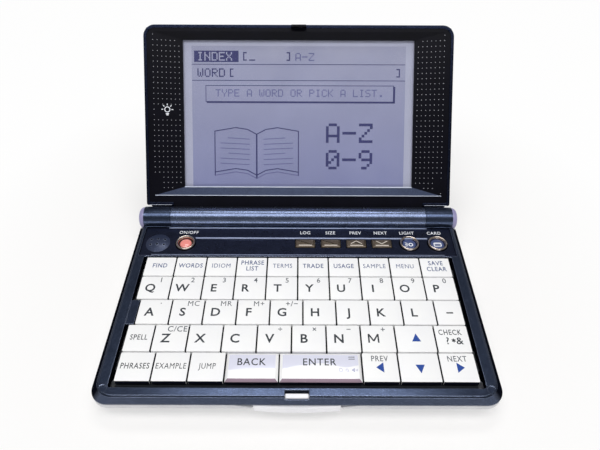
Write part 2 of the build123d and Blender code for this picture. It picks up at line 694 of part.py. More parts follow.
with BuildPart() as upper_case:
    loft([deck_outline(SEAM_TOP), deck_outline(DECK_HEIGHT - DECK_EDGE)], ruled=True)
    loft(
        [deck_outline(DECK_HEIGHT - DECK_EDGE), deck_outline(DECK_HEIGHT, DECK_EDGE)], ruled=True
    )
    loft(
        [deck_outline(SEAM_TOP, WALL), deck_outline(UNDER_DECK, WALL)],
        ruled=True,
        mode=Mode.SUBTRACT,
    )
    # skirt that reaches down inside the lower case
    extrude(rim_outline(SEAM_TOP, SKIRT_ROOT), amount=SKIRT_THICKNESS)
    extrude(rim_outline(SEAM_TOP - SKIRT_REACH, WALL + FIT), amount=SKIRT_REACH)
    extrude(
        rim_outline(SEAM_TOP - SKIRT_REACH, WALL + FIT + SKIRT_THICKNESS),
        amount=SKIRT_REACH + SKIRT_THICKNESS,
        mode=Mode.SUBTRACT,
    )
    # wall round the key well, rib and ledges under the control strip
    extrude(
        band(
            base_plane.offset(WELL_BOTTOM),
            WELL_WIDTH + 2 * WELL_SKIRT,
            -WELL_FRONT - WELL_SKIRT,
            RIB_DEPTH - RIB_FRONT,
            WELL_CORNER,
        ),
        amount=UNDER_DECK - WELL_BOTTOM,
    )
    extrude(
        band(
            base_plane.offset(UNDER_DECK - LEDGE_DEPTH),
            STRIP_OPENING + 2 * LEDGE_WIDTH,
            -STRIP_FRONT,
            -STRIP_BACK,
        ),
        amount=LEDGE_DEPTH,
    )
    extrude(
        discs(base_plane.offset(SEAM_BOTTOM), both_sides(SCREW_XYS), BOSS_RADIUS),
        amount=UNDER_DECK - SEAM_BOTTOM,
    )
    extrude(
        band(base_plane.offset(SEAM_BOTTOM), WELL_WIDTH, -WELL_FRONT, -RIB_FRONT, WELL_CORNER),
        amount=DECK_HEIGHT,
        mode=Mode.SUBTRACT,
    )
    extrude(
        band(
            base_plane.offset(SEAM_BOTTOM), WELL_WIDTH, RIB_DEPTH - RIB_FRONT, -TROUGH_RADIUS
        ),
        amount=DECK_HEIGHT,
        mode=Mode.SUBTRACT,
    )
    extrude(
        band(base_plane.offset(RIB_BOTTOM), WELL_WIDTH, -RIB_FRONT, RIB_DEPTH - RIB_FRONT),
        amount=STRIP_UNDER - RIB_BOTTOM,
    )
    extrude(
        band(
            base_plane.offset(UNDER_DECK), STRIP_OPENING, -STRIP_FRONT - FIT / 2, -TROUGH_RADIUS
        ),
        amount=DECK_HEIGHT,
        mode=Mode.SUBTRACT,
    )
    # filler in the well at the left of the home row, which is set to the right
    filler_left = -WELL_WIDTH / 2 - WELL_SKIRT / 2
    filler_right = FIELD_LEFT + HOME_ROW_SHIFT - KEY_GAP / 2
    extrude(
        patches(
            base_plane.offset(WELL_BOTTOM),
            [((filler_left + filler_right) / 2, (ROW_EDGES[2] + ROW_EDGES[3]) / 2)],
            filler_right - filler_left,
            ROW_DEPTHS[2] - KEY_GAP,
        ),
        amount=KEY_HEIGHT + KEY_TRAVEL - FILLER_DROP,
    )
    # trough under the hinge barrel and the knuckles at its ends
    add(trough_wall.part)
    for side in (-1, 1):
        extrude(
            patches(
                base_plane.offset(SEAM_TOP),
                [(side * KNUCKLE_MIDDLE, 0)],
                KNUCKLE_LENGTH,
                2 * BARREL_RADIUS,
            ),
            amount=HINGE_HEIGHT - SEAM_TOP,
        )
        with Locations(across(side * KNUCKLE_MIDDLE, 0, HINGE_HEIGHT)):
            Cylinder(BARREL_RADIUS, KNUCKLE_LENGTH)
    with Locations(across(0, 0, HINGE_HEIGHT)):
        Cylinder(TROUGH_RADIUS, 2 * KNUCKLE_INNER, mode=Mode.SUBTRACT)
        Cylinder(PIN_RADIUS, 2 * (KNUCKLE_INNER + PIN_SEAT), mode=Mode.SUBTRACT)
    extrude(
        band(base_plane.offset(HINGE_HEIGHT - REAR_RIM_DROP), 2 * KNUCKLE_INNER, 0, BASE_BACK),
        amount=DECK_HEIGHT,
        mode=Mode.SUBTRACT,
    )
    for side in (-1, 1):
        with Locations(across(side * (KNUCKLE_OUTER + CAP_THICKNESS), 0, HINGE_HEIGHT)):
            Cylinder(CAP_RADIUS + FIT, 2 * CAP_THICKNESS, mode=Mode.SUBTRACT)
    # latch slot, its notch in the front edge, and the ears that hold the latch
    for side in (-1, 1):
        extrude(
            patches(
                base_plane.offset(SEAM_BOTTOM),
                [(side * EAR_X, -(SLOT_BACK + EAR_SETBACK + SLOT_FRONT) / 2)],
                EAR_THICKNESS,
                SLOT_DEPTH - EAR_SETBACK,
            ),
            amount=UNDER_DECK - SEAM_BOTTOM,
        )
    extrude(
        band(base_plane, SLOT_WIDTH, -SLOT_FRONT, -SLOT_BACK),
        amount=HINGE_HEIGHT,
        mode=Mode.SUBTRACT,
    )
    extrude(
        band(base_plane.offset(DECK_HEIGHT - NOTCH_DEPTH), SLOT_WIDTH, -BASE_FRONT, -SLOT_BACK),
        amount=NOTCH_DEPTH,
        mode=Mode.SUBTRACT,
    )
    extrude(
        band(
            base_plane, LATCH_BAY_WIDTH + 2 * (WALL + FIT), -BASE_FRONT, -LATCH_BAY_BACK
        ),
        amount=SEAM_TOP,
        mode=Mode.SUBTRACT,
    )
    with Locations(across(0, PIVOT_Y, PIVOT_HEIGHT)):
        Cylinder(
            LATCH_PIN_RADIUS + PIN_CLEARANCE, 2 * EAR_X + EAR_THICKNESS, mode=Mode.SUBTRACT
        )
    # screw holes and the dimples that meet the bumpers of the lid
    extrude(
        discs(base_plane, both_sides(SCREW_XYS), SCREW_SHANK),
        amount=SCREW_SEAT + SCREW_LENGTH,
        mode=Mode.SUBTRACT,
    )
    extrude(
        discs(
            base_plane.offset(DECK_HEIGHT - DIMPLE_DEPTH),
            both_sides([(BUMPER_X, -BUMPER_S)]),
            DIMPLE_RADIUS,
        ),
        amount=DIMPLE_DEPTH,
        mode=Mode.SUBTRACT,
    )
save(upper_case.part, "upper_case")

# ---------------------------------------------------------------- control strip
SLEEVE_RADIUS = RING_BORE + SLEEVE_WALL

with BuildPart() as control_panel:
    extrude(
        band(base_plane.offset(STRIP_UNDER), STRIP_WIDTH, -STRIP_FRONT, -STRIP_BACK),
        amount=STRIP_THICKNESS,
    )
    # raised edge behind the keys and raised ground behind the buttons
    extrude(
        corners(
            side_plane.offset(-STRIP_WIDTH / 2),
            [
                (-STRIP_FRONT, STRIP_TOP),
                (-STRIP_FRONT, DECK_HEIGHT - RIDGE_BEVEL),
                (-STRIP_FRONT + RIDGE_BEVEL, DECK_HEIGHT),
                (-STRIP_FRONT + RIDGE_WIDTH - 2 * RIDGE_BEVEL, DECK_HEIGHT),
                (-STRIP_FRONT + RIDGE_WIDTH, STRIP_TOP),
            ],
        ),
        amount=STRIP_WIDTH,
    )
    extrude(
        corners(
            side_plane.offset(POWER_X),
            [
                (-STRIP_STEP - STEP_RISE / 2, STRIP_TOP),
                (-STRIP_STEP + STEP_RISE / 2, STRIP_TOP + STEP_RISE),
                (-STRIP_BACK - STEP_RISE, STRIP_TOP + STEP_RISE),
                (-STRIP_BACK, STRIP_TOP),
            ],
        ),
        amount=CARD_BUTTON_X - POWER_X,
    )
    extrude(
        discs(base_plane.offset(STRIP_TOP), RING_XYS, RING_RADIUS + FIT),
        amount=RING_HEIGHT,
        mode=Mode.SUBTRACT,
    )
    extrude(
        discs(base_plane, RING_XYS, SLEEVE_RADIUS + FIT / 3),
        amount=DECK_HEIGHT,
        mode=Mode.SUBTRACT,
    )
    extrude(
        discs(base_plane, [SPEAKER_XY], SPEAKER_RADIUS - SPEAKER_RIM),
        amount=DECK_HEIGHT,
        mode=Mode.SUBTRACT,
    )
    extrude(
        patches(
            base_plane, BAR_BUTTON_XYS, BAR_BUTTON_WIDTH + 2 * FIT, BAR_BUTTON_DEPTH + 2 * FIT
        ),
        amount=DECK_HEIGHT,
        mode=Mode.SUBTRACT,
    )
    extrude(
        patches(
            base_plane.offset(STRIP_TOP - LABEL_RECESS),
            [(LABEL_X, BUTTON_LINE)],
            LABEL_WIDTH,
            LABEL_DEPTH,
        ),
        amount=LABEL_RECESS,
        mode=Mode.SUBTRACT,
    )
save(control_panel.part, "control_panel")

# the grille is a shallow dome, cut from a ball, over a ring that seats in the strip
BALL_RADIUS = (SPEAKER_RADIUS**2 + SPEAKER_DOME**2) / (2 * SPEAKER_DOME)
HALF_ANGLE = asin(SPEAKER_RADIUS / BALL_RADIUS) / 2
SPEAKER_SEAT = SPEAKER_RADIUS - SPEAKER_RIM - FIT
SPEAKER_HOLES = [
    (SPEAKER_X + column * SPEAKER_PITCH, BUTTON_LINE + row * SPEAKER_PITCH)
    for column in (-1, 0, 1)
    for row in (-0.5, 0.5)
]

speaker_centre = (SPEAKER_X, HINGE_Y + BUTTON_LINE, STRIP_TOP)
speaker_plane = Plane(origin=speaker_centre, x_dir=(1, 0, 0), z_dir=(0, -1, 0))

with BuildPart() as speaker_grille:
    with BuildSketch(speaker_plane):
        with BuildLine():
            Line((0, 0), (SPEAKER_RADIUS, 0))
            ThreePointArc(
                (SPEAKER_RADIUS, 0),
                (
                    BALL_RADIUS * sin(HALF_ANGLE),
                    SPEAKER_DOME - BALL_RADIUS * (1 - cos(HALF_ANGLE)),
                ),
                (0, SPEAKER_DOME),
            )
            Line((0, SPEAKER_DOME), (0, 0))
        make_face()
    revolve(axis=Axis(speaker_centre, (0, 0, 1)))
    extrude(
        discs(base_plane.offset(STRIP_UNDER), [SPEAKER_XY], SPEAKER_SEAT),
        amount=STRIP_THICKNESS,
    )
    extrude(
        discs(base_plane.offset(STRIP_UNDER), [SPEAKER_XY], SPEAKER_SEAT - SPEAKER_RIM + FIT),
        amount=STRIP_THICKNESS,
        mode=Mode.SUBTRACT,
    )
    extrude(
        discs(base_plane.offset(STRIP_UNDER), SPEAKER_HOLES, SPEAKER_HOLE),
        amount=STRIP_THICKNESS + SPEAKER_DOME,
        mode=Mode.SUBTRACT,
    )
save(speaker_grille.part, "speaker_grille")

with BuildPart() as button_rings:
    extrude(discs(base_plane.offset(STRIP_TOP), RING_XYS, RING_RADIUS), amount=RING_HEIGHT)
    chamfer(button_rings.edges().group_by(Axis.Z)[-1], RING_HEIGHT / 2)
    extrude(discs(base_plane.offset(STRIP_UNDER), RING_XYS, SLEEVE_RADIUS), amount=STRIP_THICKNESS)
    extrude(
        discs(base_plane.offset(STRIP_UNDER), RING_XYS, RING_BORE),
        amount=STRIP_THICKNESS + RING_HEIGHT,
        mode=Mode.SUBTRACT,
    )
save(button_rings.part, "button_rings")

# ---------------------------------------------------------------- buttons of the strip
ROUND_RADIUS = RING_BORE - FIT

for name, place, rise in [
    ("power_button", POWER_XY, POWER_BUTTON_RISE),
    ("backlight_button", BACKLIGHT_XY, RECESSED_BUTTON_RISE),
    ("card_button", CARD_BUTTON_XY, RECESSED_BUTTON_RISE),
]:
    with BuildPart() as round_button:
        extrude(
            discs(base_plane.offset(STRIP_UNDER), [place], ROUND_RADIUS),
            amount=STRIP_THICKNESS + rise,
        )
        chamfer(round_button.faces().sort_by(Axis.Z)[-1].edges(), BUTTON_CHAMFER)
        extrude(
            discs(base_plane.offset(BUTTON_FOOT), [place], ROUND_RADIUS / 2),
            amount=STRIP_UNDER - BUTTON_FOOT,
        )
    save(round_button.part, name)

with BuildPart() as function_buttons:
    extrude(
        patches(
            base_plane.offset(STRIP_UNDER + FIT / 2),
            BAR_BUTTON_XYS,
            BAR_BUTTON_WIDTH,
            BAR_BUTTON_DEPTH,
        ),
        amount=STRIP_THICKNESS - FIT / 2 + BAR_BUTTON_RISE,
    )
    chamfer(function_buttons.edges().group_by(Axis.Z)[-1], BAR_BUTTON_CHAMFER)
save(function_buttons.part, "function_buttons")


# ---------------------------------------------------------------- keys
def key_cells(row, left, widths):
    """Cells of one row from left to right, each as (x, y, width, depth)."""
    cells = []
    for width in widths:
        middle = (ROW_EDGES[row] + ROW_EDGES[row + 1]) / 2
        cells.append((left + width / 2, middle, width, ROW_DEPTHS[row]))
        left += width
    return cells


# one key in each row takes what the others leave
HOME_LETTERS, BOTTOM_LETTERS = "asdfghjkl", "zxcvbnm"
MINUS_WIDTH = FIELD_WIDTH - HOME_ROW_SHIFT - len(HOME_LETTERS) * COLUMN
BOTTOM_WIDTH = (FIELD_WIDTH - SPELL_WIDTH - UP_ARROW_WIDTH - COLUMN) / len(BOTTOM_LETTERS)
ENTER_WIDTH = (
    FIELD_WIDTH - 3 * COLUMN - BACK_WIDTH - LEFT_ARROW_WIDTH - UP_ARROW_WIDTH - RIGHT_ARROW_WIDTH
)

top_cells = key_cells(0, FIELD_LEFT, [COLUMN] * KEY_COLUMNS)
q_cells = key_cells(1, FIELD_LEFT, [COLUMN] * KEY_COLUMNS)
home_cells = key_cells(
    2, FIELD_LEFT + HOME_ROW_SHIFT, [COLUMN] * len(HOME_LETTERS) + [MINUS_WIDTH]
)
z_cells = key_cells(
    3,
    FIELD_LEFT,
    [SPELL_WIDTH] + [BOTTOM_WIDTH] * len(BOTTOM_LETTERS) + [UP_ARROW_WIDTH, COLUMN],
)
front_cells = key_cells(
    4,
    FIELD_LEFT,
    [COLUMN] * 3
    + [BACK_WIDTH, ENTER_WIDTH, LEFT_ARROW_WIDTH, UP_ARROW_WIDTH, RIGHT_ARROW_WIDTH],
)
spell_cell, *bottom_cells, up_arrow_cell, check_cell = z_cells
*left_cells, back_cell, enter_cell, left_arrow_cell, down_arrow_cell, right_arrow_cell = front_cells

side_cells = [spell_cell, check_cell] + left_cells
wide_cells = {"back_key": back_cell, "enter_key": enter_cell}
single_cells = {f"key_{letter}": cell for letter, cell in zip("qwertyuiop", q_cells)}
single_cells |= {f"key_{letter}": cell for letter, cell in zip(HOME_LETTERS, home_cells)}
single_cells |= {f"key_{letter}": cell for letter, cell in zip(BOTTOM_LETTERS, bottom_cells)}
single_cells |= {
    "key_minus": home_cells[-1],
    "arrow_up": up_arrow_cell,
    "arrow_left": left_arrow_cell,
    "arrow_down": down_arrow_cell,
    "arrow_right": right_arrow_cell,
}


def cell_block(z, cells, inset):
    """Rectangles inside their cells, at one height."""
    with BuildSketch(base_plane.offset(z)) as outline:
        for x, y, width, depth in cells:
            with Locations((x, y)):
                Rectangle(width - 2 * inset, depth - 2 * inset)
    return outline.sketch


def keycaps(cells, lift, edge):
    """Hollow caps with bevelled upper edges, one on each cell."""
    with BuildPart() as caps:
        extrude(cell_block(KEY_BOTTOM, cells, KEY_GAP / 2), amount=KEY_HEIGHT + lift)
        chamfer(caps.edges().group_by(Axis.Z)[-1], edge)
        extrude(
            cell_block(KEY_BOTTOM, cells, KEY_GAP / 2 + KEY_WALL),
            amount=KEY_HEIGHT - KEY_WALL,
            mode=Mode.SUBTRACT,
        )
    return caps.part


for name, cells in {"dictionary_keys": top_cells, "side_keys": side_cells}.items():
    save(keycaps(cells, 0, KEY_CHAMFER), name)

for name, cell in single_cells.items():
    save(keycaps([cell], 0, KEY_CHAMFER), name)

for name, cell in wide_cells.items():
    save(keycaps([cell], WIDE_KEY_LIFT, WIDE_KEY_CHAMFER), name)

# ---------------------------------------------------------------- under the keys
all_cells = top_cells + q_cells + home_cells + z_cells + front_cells

with BuildPart() as key_membrane:
    extrude(
        band(base_plane.offset(BOARD_TOP), FIELD_WIDTH, -FIELD_FRONT, -FIELD_BACK),
        amount=SHEET_THICKNESS,
    )
    extrude(
        cell_block(SHEET_TOP, all_cells, KEY_GAP / 2 + KEY_WALL + PEG_CLEARANCE),
        amount=PEG_TOP - SHEET_TOP,
    )
save(key_membrane.part, "key_membrane")

BOARD_PLANE = base_plane.offset(BOARD_BOTTOM)
CONTACT_X = BAY_HALF - FIT - CONTACT_THICKNESS / 2

with BuildPart() as circuit_board:
    extrude(band(BOARD_PLANE, FIELD_WIDTH, -FIELD_FRONT, -BOARD_BACK), amount=BOARD_THICKNESS)
    extrude(
        patches(
            BOARD_PLANE,
            both_sides(
                [((BOARD_EAR_INNER + FIELD_WIDTH / 2) / 2, -(BOARD_BACK + BOARD_EAR_BACK) / 2)]
            ),
            FIELD_WIDTH / 2 - BOARD_EAR_INNER,
            BOARD_BACK - BOARD_EAR_BACK,
        ),
        amount=BOARD_THICKNESS,
    )
    # processor and memory chips on the underside, speaker driver on top
    extrude(
        patches(BOARD_PLANE, [PROCESSOR_XY], *PROCESSOR_SIZE[:2]), amount=-PROCESSOR_SIZE[2]
    )
    extrude(patches(BOARD_PLANE, MEMORY_XYS, *MEMORY_SIZE[:2]), amount=-MEMORY_SIZE[2])
    extrude(
        discs(base_plane.offset(BOARD_TOP), [SPEAKER_XY], DRIVER_RADIUS), amount=DRIVER_HEIGHT
    )
    # strips that reach over the bay walls, with a plate and a spring against the cells
    for side in (-1, 1):
        extrude(
            patches(
                BOARD_PLANE,
                [(side * (BAY_HALF + BOARD_EAR_INNER) / 2, CELL_Y)],
                BOARD_EAR_INNER - BAY_HALF + 2 * CONTACT_LAP,
                CONTACT_STRIP,
            ),
            amount=CONTACT_THICKNESS,
        )
        extrude(
            patches(
                base_plane.offset(CELL_Z - CONTACT_WIDTH / 2),
                [(side * CONTACT_X, CELL_Y)],
                CONTACT_THICKNESS,
                CONTACT_WIDTH,
            ),
            amount=BOARD_BOTTOM + CONTACT_THICKNESS - CELL_Z + CONTACT_WIDTH / 2,
        )
        with Locations(across(side * (CONTACT_X - CONTACT_SPRING / 2), CELL_Y, CELL_Z)):
            Cylinder(CELL_NUB_RADIUS, CONTACT_SPRING)
save(circuit_board.part, "circuit_board")

# ---------------------------------------------------------------- cells, cover and card
with BuildPart() as batteries:
    standing = (Align.CENTER, Align.CENTER, Align.MIN)
    for left in (-CELL_LENGTH, 0):
        with Locations(across(left, CELL_Y, CELL_Z)):
            Cylinder(CELL_RADIUS, CELL_LENGTH - CELL_NUB - CELL_PLAY, align=standing)
            Cylinder(CELL_NUB_RADIUS, CELL_LENGTH - CELL_PLAY, align=standing)
save(batteries.part, "batteries")

with BuildPart() as battery_cover:
    extrude(
        band(
            base_plane.offset(FOOT_HEIGHT), COVER_WIDTH, -COVER_FRONT, COVER_BACK, COVER_CORNER
        ),
        amount=COVER_THICKNESS,
    )
    with Locations((0, HINGE_Y - COVER_FRONT / 2, FOOT_HEIGHT)):
        with GridLocations(0, GRIP_PITCH, 1, GRIP_GROOVES):
            Box(GRIP_WIDTH, GRIP_GROOVE, 2 * GRIP_DEPTH, mode=Mode.SUBTRACT)
save(battery_cover.part, "battery_cover")

with BuildPart() as memory_card:
    extrude(
        patches(
            base_plane.offset(CARD_HEIGHT),
            [((CARD_INNER + CARD_OUTER) / 2, CARD_Y)],
            CARD_LENGTH,
            CARD_WIDTH,
        ),
        amount=CARD_THICKNESS,
    )
    chamfer(memory_card.edges().filter_by(Axis.Z), CARD_CORNER)
    grip_width, grip_length, grip_depth = CARD_GRIP_SIZE
    with Locations((CARD_OUTER - CARD_GRIP_INSET, HINGE_Y + CARD_Y, CARD_HEIGHT + CARD_THICKNESS)):
        Box(grip_width, grip_length, 2 * grip_depth, mode=Mode.SUBTRACT)
save(memory_card.part, "memory_card")

# ---------------------------------------------------------------- fasteners and feet
SCREW_HEAD_PLANE = base_plane.offset(SCREW_SEAT - SCREW_HEAD_DEPTH)

with BuildPart() as case_screws:
    extrude(
        discs(SCREW_HEAD_PLANE, both_sides(SCREW_XYS), SCREW_HEAD), amount=SCREW_HEAD_DEPTH
    )
    extrude(
        discs(base_plane.offset(SCREW_SEAT), both_sides(SCREW_XYS), SCREW_SHANK),
        amount=SCREW_LENGTH - SCREW_TIP_PLAY,
    )
    cross_length, cross_width, cross_depth = SCREW_CROSS
    for width, depth in [(cross_length, cross_width), (cross_width, cross_length)]:
        extrude(
            patches(SCREW_HEAD_PLANE, both_sides(SCREW_XYS), width, depth),
            amount=cross_depth,
            mode=Mode.SUBTRACT,
        )
save(case_screws.part, "case_screws")

with BuildPart() as rubber_feet:
    extrude(
        discs(base_plane, both_sides(FOOT_XYS), FOOT_RADIUS),
        amount=FOOT_HEIGHT + FOOT_RECESS,
    )
    chamfer(rubber_feet.edges().group_by(Axis.Z)[0], FOOT_CHAMFER)
save(rubber_feet.part, "rubber_feet")

# ---------------------------------------------------------------- latch
BAR_HALF = BAR_WIDTH / 2

with BuildPart() as latch_button:
    with BuildSketch(base_plane.offset(BAR_BOTTOM)):
        with BuildLine():
            Line((BAR_HALF, -STEM_BACK), (-BAR_HALF, -STEM_BACK))
            Line((-BAR_HALF, -STEM_BACK), (-BAR_HALF, -BAR_END))
            ThreePointArc((-BAR_HALF, -BAR_END), (0, -BAR_FRONT), (BAR_HALF, -BAR_END))
            Line((BAR_HALF, -BAR_END), (BAR_HALF, -STEM_BACK))
        make_face()
    extrude(amount=BAR_TOP - BAR_BOTTOM)
    chamfer(latch_button.faces().sort_by(Axis.Y)[0].edges(), BAR_CHAMFER)
    extrude(
        band(base_plane.offset(BAR_TOP), TONGUE_WIDTH, -STEM_FRONT, -STEM_BACK),
        amount=TONGUE_UNDER - BAR_TOP,
    )
    extrude(
        band(base_plane.offset(TONGUE_UNDER), TONGUE_WIDTH, -DECK_FRONT, -TONGUE_BACK),
        amount=TONGUE_THICKNESS,
    )
    with Locations(across(0, PIVOT_Y, PIVOT_HEIGHT)):
        Cylinder(LATCH_PIN_RADIUS, TONGUE_WIDTH + 2 * LATCH_PIN_LENGTH)
save(latch_button.part, "latch_button")

# ---------------------------------------------------------------- hinge
with BuildPart() as hinge_pins:
    for side in (-1, 1):
        middle = KNUCKLE_INNER + (PIN_SEAT - PIN_REACH) / 2
        with Locations(across(side * middle, 0, HINGE_HEIGHT)):
            Cylinder(PIN_RADIUS, PIN_SEAT + PIN_REACH)
save(hinge_pins.part, "hinge_pins")

with BuildPart() as hinge_caps:
    for side in (-1, 1):
        with Locations(across(side * (KNUCKLE_OUTER + CAP_THICKNESS / 2), 0, HINGE_HEIGHT)):
            Cylinder(CAP_RADIUS, CAP_THICKNESS)
    outer_rims = hinge_caps.edges().filter_by(GeomType.CIRCLE).group_by(Axis.X)
    fillet(outer_rims[0] + outer_rims[-1], CAP_DOME)
save(hinge_caps.part, "hinge_caps")

with BuildPart() as hinge_barrel:
    with Locations(across(0, 0, HINGE_HEIGHT)):
        Cylinder(BARREL_RADIUS, 2 * (KNUCKLE_INNER - BARREL_END_GAP))
    for side in (-1, 1):
        with Locations(across(side * (KNUCKLE_INNER - PIN_REACH / 2), 0, HINGE_HEIGHT)):
            Cylinder(
                PIN_RADIUS + PIN_CLEARANCE, PIN_REACH + 2 * PIN_END_PLAY, mode=Mode.SUBTRACT
            )
save(hinge_barrel.part, "hinge_barrel")


# ---------------------------------------------------------------- lid
def lid_outline(n, bottom, inset=0.0):
    """The outline of the lid at a depth below its face, moved inwards."""
    share = (LID_FACE - n) / LID_DEPTH
    return frame_band(
        lid_plane.offset(n),
        blend(LID_WIDTH, LID_BACK_WIDTH, share) - 2 * inset,
        bottom + inset,
        blend(LID_TOP, LID_BACK_TOP, share) - inset,
        LID_FOOT_CORNER,
        LID_CORNER - inset,
    )


def pocket_outline(n, clearance):
    """The outline inside the rim of the lid, where the bezel sits."""
    return frame_band(
        lid_plane.offset(n),
        LID_WIDTH - 2 * RIM_WIDTH - 2 * clearance,
        LID_BOTTOM + RIM_WIDTH + clearance,
        LID_TOP - RIM_WIDTH - clearance,
        POCKET_FOOT_CORNER,
        POCKET_CORNER,
    )


def tab_outline(n, clearance):
    """The foot of the bezel, which reaches through the rim to the hinge barrel."""
    return band(
        lid_plane.offset(n), 2 * (TAB_HALF_WIDTH + clearance), 0, LID_BOTTOM + 2 * RIM_WIDTH
    )


def screen_band(n, margin):
    """The screen opening grown by a margin, at a depth below the face of the lid."""
    return band(
        lid_plane.offset(n), SCREEN_WIDTH + 2 * margin, SCREEN_BOTTOM - margin, SCREEN_TOP + margin
    )


def hook_seat():
    """The outline of the seat that the foot of the hook fills."""
    return band(
        lid_plane.offset(LID_FACE),
        HOOK_WIDTH + 2 * HOOK_SEAT,
        HOOK_BASE_BOTTOM - HOOK_SEAT,
        HOOK_BASE_TOP + HOOK_SEAT,
    )


def rounded_sections():
    """Sections of the lid round its back edge, from the side wall to the back."""
    sections = []
    for step in range(ROUNDING_STEPS + 1):
        angle = radians(90 * step / ROUNDING_STEPS)
        depth = LID_BACK + LID_ROUNDING * (1 - sin(angle))
        sections.append(lid_outline(depth, LID_HEEL_BOTTOM, LID_ROUNDING * (1 - cos(angle))))
    return sections


with BuildPart() as lid_cover:
    # the heel at the foot of the back closes the view past the hinge knuckles
    walls = [lid_outline(LID_FACE, LID_BOTTOM), lid_outline(LID_SHOULDER, LID_BOTTOM)]
    loft(walls + rounded_sections(), ruled=True)
    extrude(pocket_outline(LID_FACE, 0), amount=-(BEZEL_DEPTH + FIT / 3), mode=Mode.SUBTRACT)
    extrude(
        screen_band(BEZEL_BACK, PANEL_MARGIN + FIT),
        amount=-(LID_DEPTH - LID_WALL - BEZEL_DEPTH),
        mode=Mode.SUBTRACT,
    )
    # gap in the bottom wall for the bezel, and the seat of the hook
    extrude(
        tab_outline(LID_FACE, FIT), amount=-(BEZEL_DEPTH + TAB_CLEARANCE), mode=Mode.SUBTRACT
    )
    extrude(hook_seat(), amount=-(HOOK_BASE_DEPTH + HOOK_SEAT), mode=Mode.SUBTRACT)
    # bumpers at the free corners
    extrude(
        discs(lid_plane.offset(LID_FACE), both_sides([(BUMPER_X, BUMPER_S)]), BUMPER_RADIUS),
        amount=BUMPER_HEIGHT,
    )
save(lid_cover.part, "lid_cover")

with BuildPart() as lid_bezel:
    extrude(pocket_outline(BEZEL_TOP, FIT / 4), amount=BEZEL_BACK - BEZEL_TOP)
    extrude(tab_outline(BEZEL_TOP, 0), amount=BEZEL_BACK - BEZEL_TOP)
    with Locations(across(0, 0, HINGE_HEIGHT)):
        Cylinder(BARREL_RADIUS + FIT / 3, BASE_WIDTH, mode=Mode.SUBTRACT)
    # funnel down to the screen, then the straight opening and the seat of the window
    loft(
        [
            band(lid_plane.offset(BEZEL_TOP), FUNNEL_WIDTH, FUNNEL_BOTTOM, FUNNEL_TOP),
            screen_band(FUNNEL_FLOOR, 0),
        ],
        ruled=True,
        mode=Mode.SUBTRACT,
    )
    extrude(screen_band(FUNNEL_FLOOR, 0), amount=-BEZEL_DEPTH, mode=Mode.SUBTRACT)
    extrude(
        screen_band(BEZEL_BACK, WINDOW_MARGIN + FIT / 2),
        amount=WINDOW_THICKNESS,
        mode=Mode.SUBTRACT,
    )
    extrude(hook_seat(), amount=-(HOOK_BASE_DEPTH + HOOK_SEAT), mode=Mode.SUBTRACT)
save(lid_bezel.part, "lid_bezel")

with BuildPart() as display_window:
    extrude(screen_band(BEZEL_BACK, WINDOW_MARGIN), amount=WINDOW_THICKNESS)
save(display_window.part, "display_window")

with BuildPart() as lcd_panel:
    extrude(screen_band(BEZEL_BACK - FIT / 3, PANEL_MARGIN), amount=-PANEL_THICKNESS)
save(lcd_panel.part, "lcd_panel")

# the hook stands on a foot in the rim and bends to a nose that catches under the tongue
HOOK_FRONT = HOOK_BACK + HOOK_THICKNESS

with BuildPart() as lid_hook:
    extrude(
        corners(
            lid_side.offset(-HOOK_WIDTH / 2),
            [
                (HOOK_BASE_BOTTOM, LID_FACE),
                (HOOK_BASE_BOTTOM, LID_FACE - HOOK_BASE_DEPTH),
                (HOOK_BASE_TOP, LID_FACE - HOOK_BASE_DEPTH),
                (HOOK_BASE_TOP, LID_FACE),
                (HOOK_FRONT, LID_FACE),
                (HOOK_FRONT, HOOK_CATCH),
                (HOOK_FRONT + HOOK_NOSE, HOOK_CATCH),
                (HOOK_FRONT + HOOK_NOSE, HOOK_CATCH + HOOK_NOSE_DEPTH),
                (HOOK_FRONT, HOOK_CATCH + HOOK_TIP),
                (HOOK_BACK, HOOK_CATCH + HOOK_TIP),
                (HOOK_BACK, LID_FACE),
            ],
        ),
        amount=HOOK_WIDTH,
    )
save(lid_hook.part, "lid_hook")
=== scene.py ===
"""Looks of the open pocket dictionary: navy lacquered shells, white keys, chrome trim and a grey display.

Pieces are drawn in millimetres and written in metres.  +Z is up, -Y faces the user.
"""

import json
from math import cos, pi, radians, sin, sqrt

import bmesh
import bpy
from mathutils import Matrix, Vector


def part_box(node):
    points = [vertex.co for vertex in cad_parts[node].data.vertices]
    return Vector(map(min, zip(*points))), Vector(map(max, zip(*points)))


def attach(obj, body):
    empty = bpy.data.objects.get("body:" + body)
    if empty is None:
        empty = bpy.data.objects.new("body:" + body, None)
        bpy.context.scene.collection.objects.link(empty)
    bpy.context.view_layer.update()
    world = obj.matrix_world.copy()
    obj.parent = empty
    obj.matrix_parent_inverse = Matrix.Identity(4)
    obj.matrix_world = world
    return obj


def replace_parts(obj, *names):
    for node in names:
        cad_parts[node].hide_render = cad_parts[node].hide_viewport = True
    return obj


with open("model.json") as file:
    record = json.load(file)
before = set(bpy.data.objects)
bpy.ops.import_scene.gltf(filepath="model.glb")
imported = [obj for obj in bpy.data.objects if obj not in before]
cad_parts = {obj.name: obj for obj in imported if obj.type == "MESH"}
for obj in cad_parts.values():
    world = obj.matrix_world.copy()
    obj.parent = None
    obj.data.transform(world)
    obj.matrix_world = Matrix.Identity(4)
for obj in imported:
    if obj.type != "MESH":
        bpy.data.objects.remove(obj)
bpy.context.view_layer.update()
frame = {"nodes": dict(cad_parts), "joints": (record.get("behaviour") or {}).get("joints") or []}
cad = frame["nodes"]

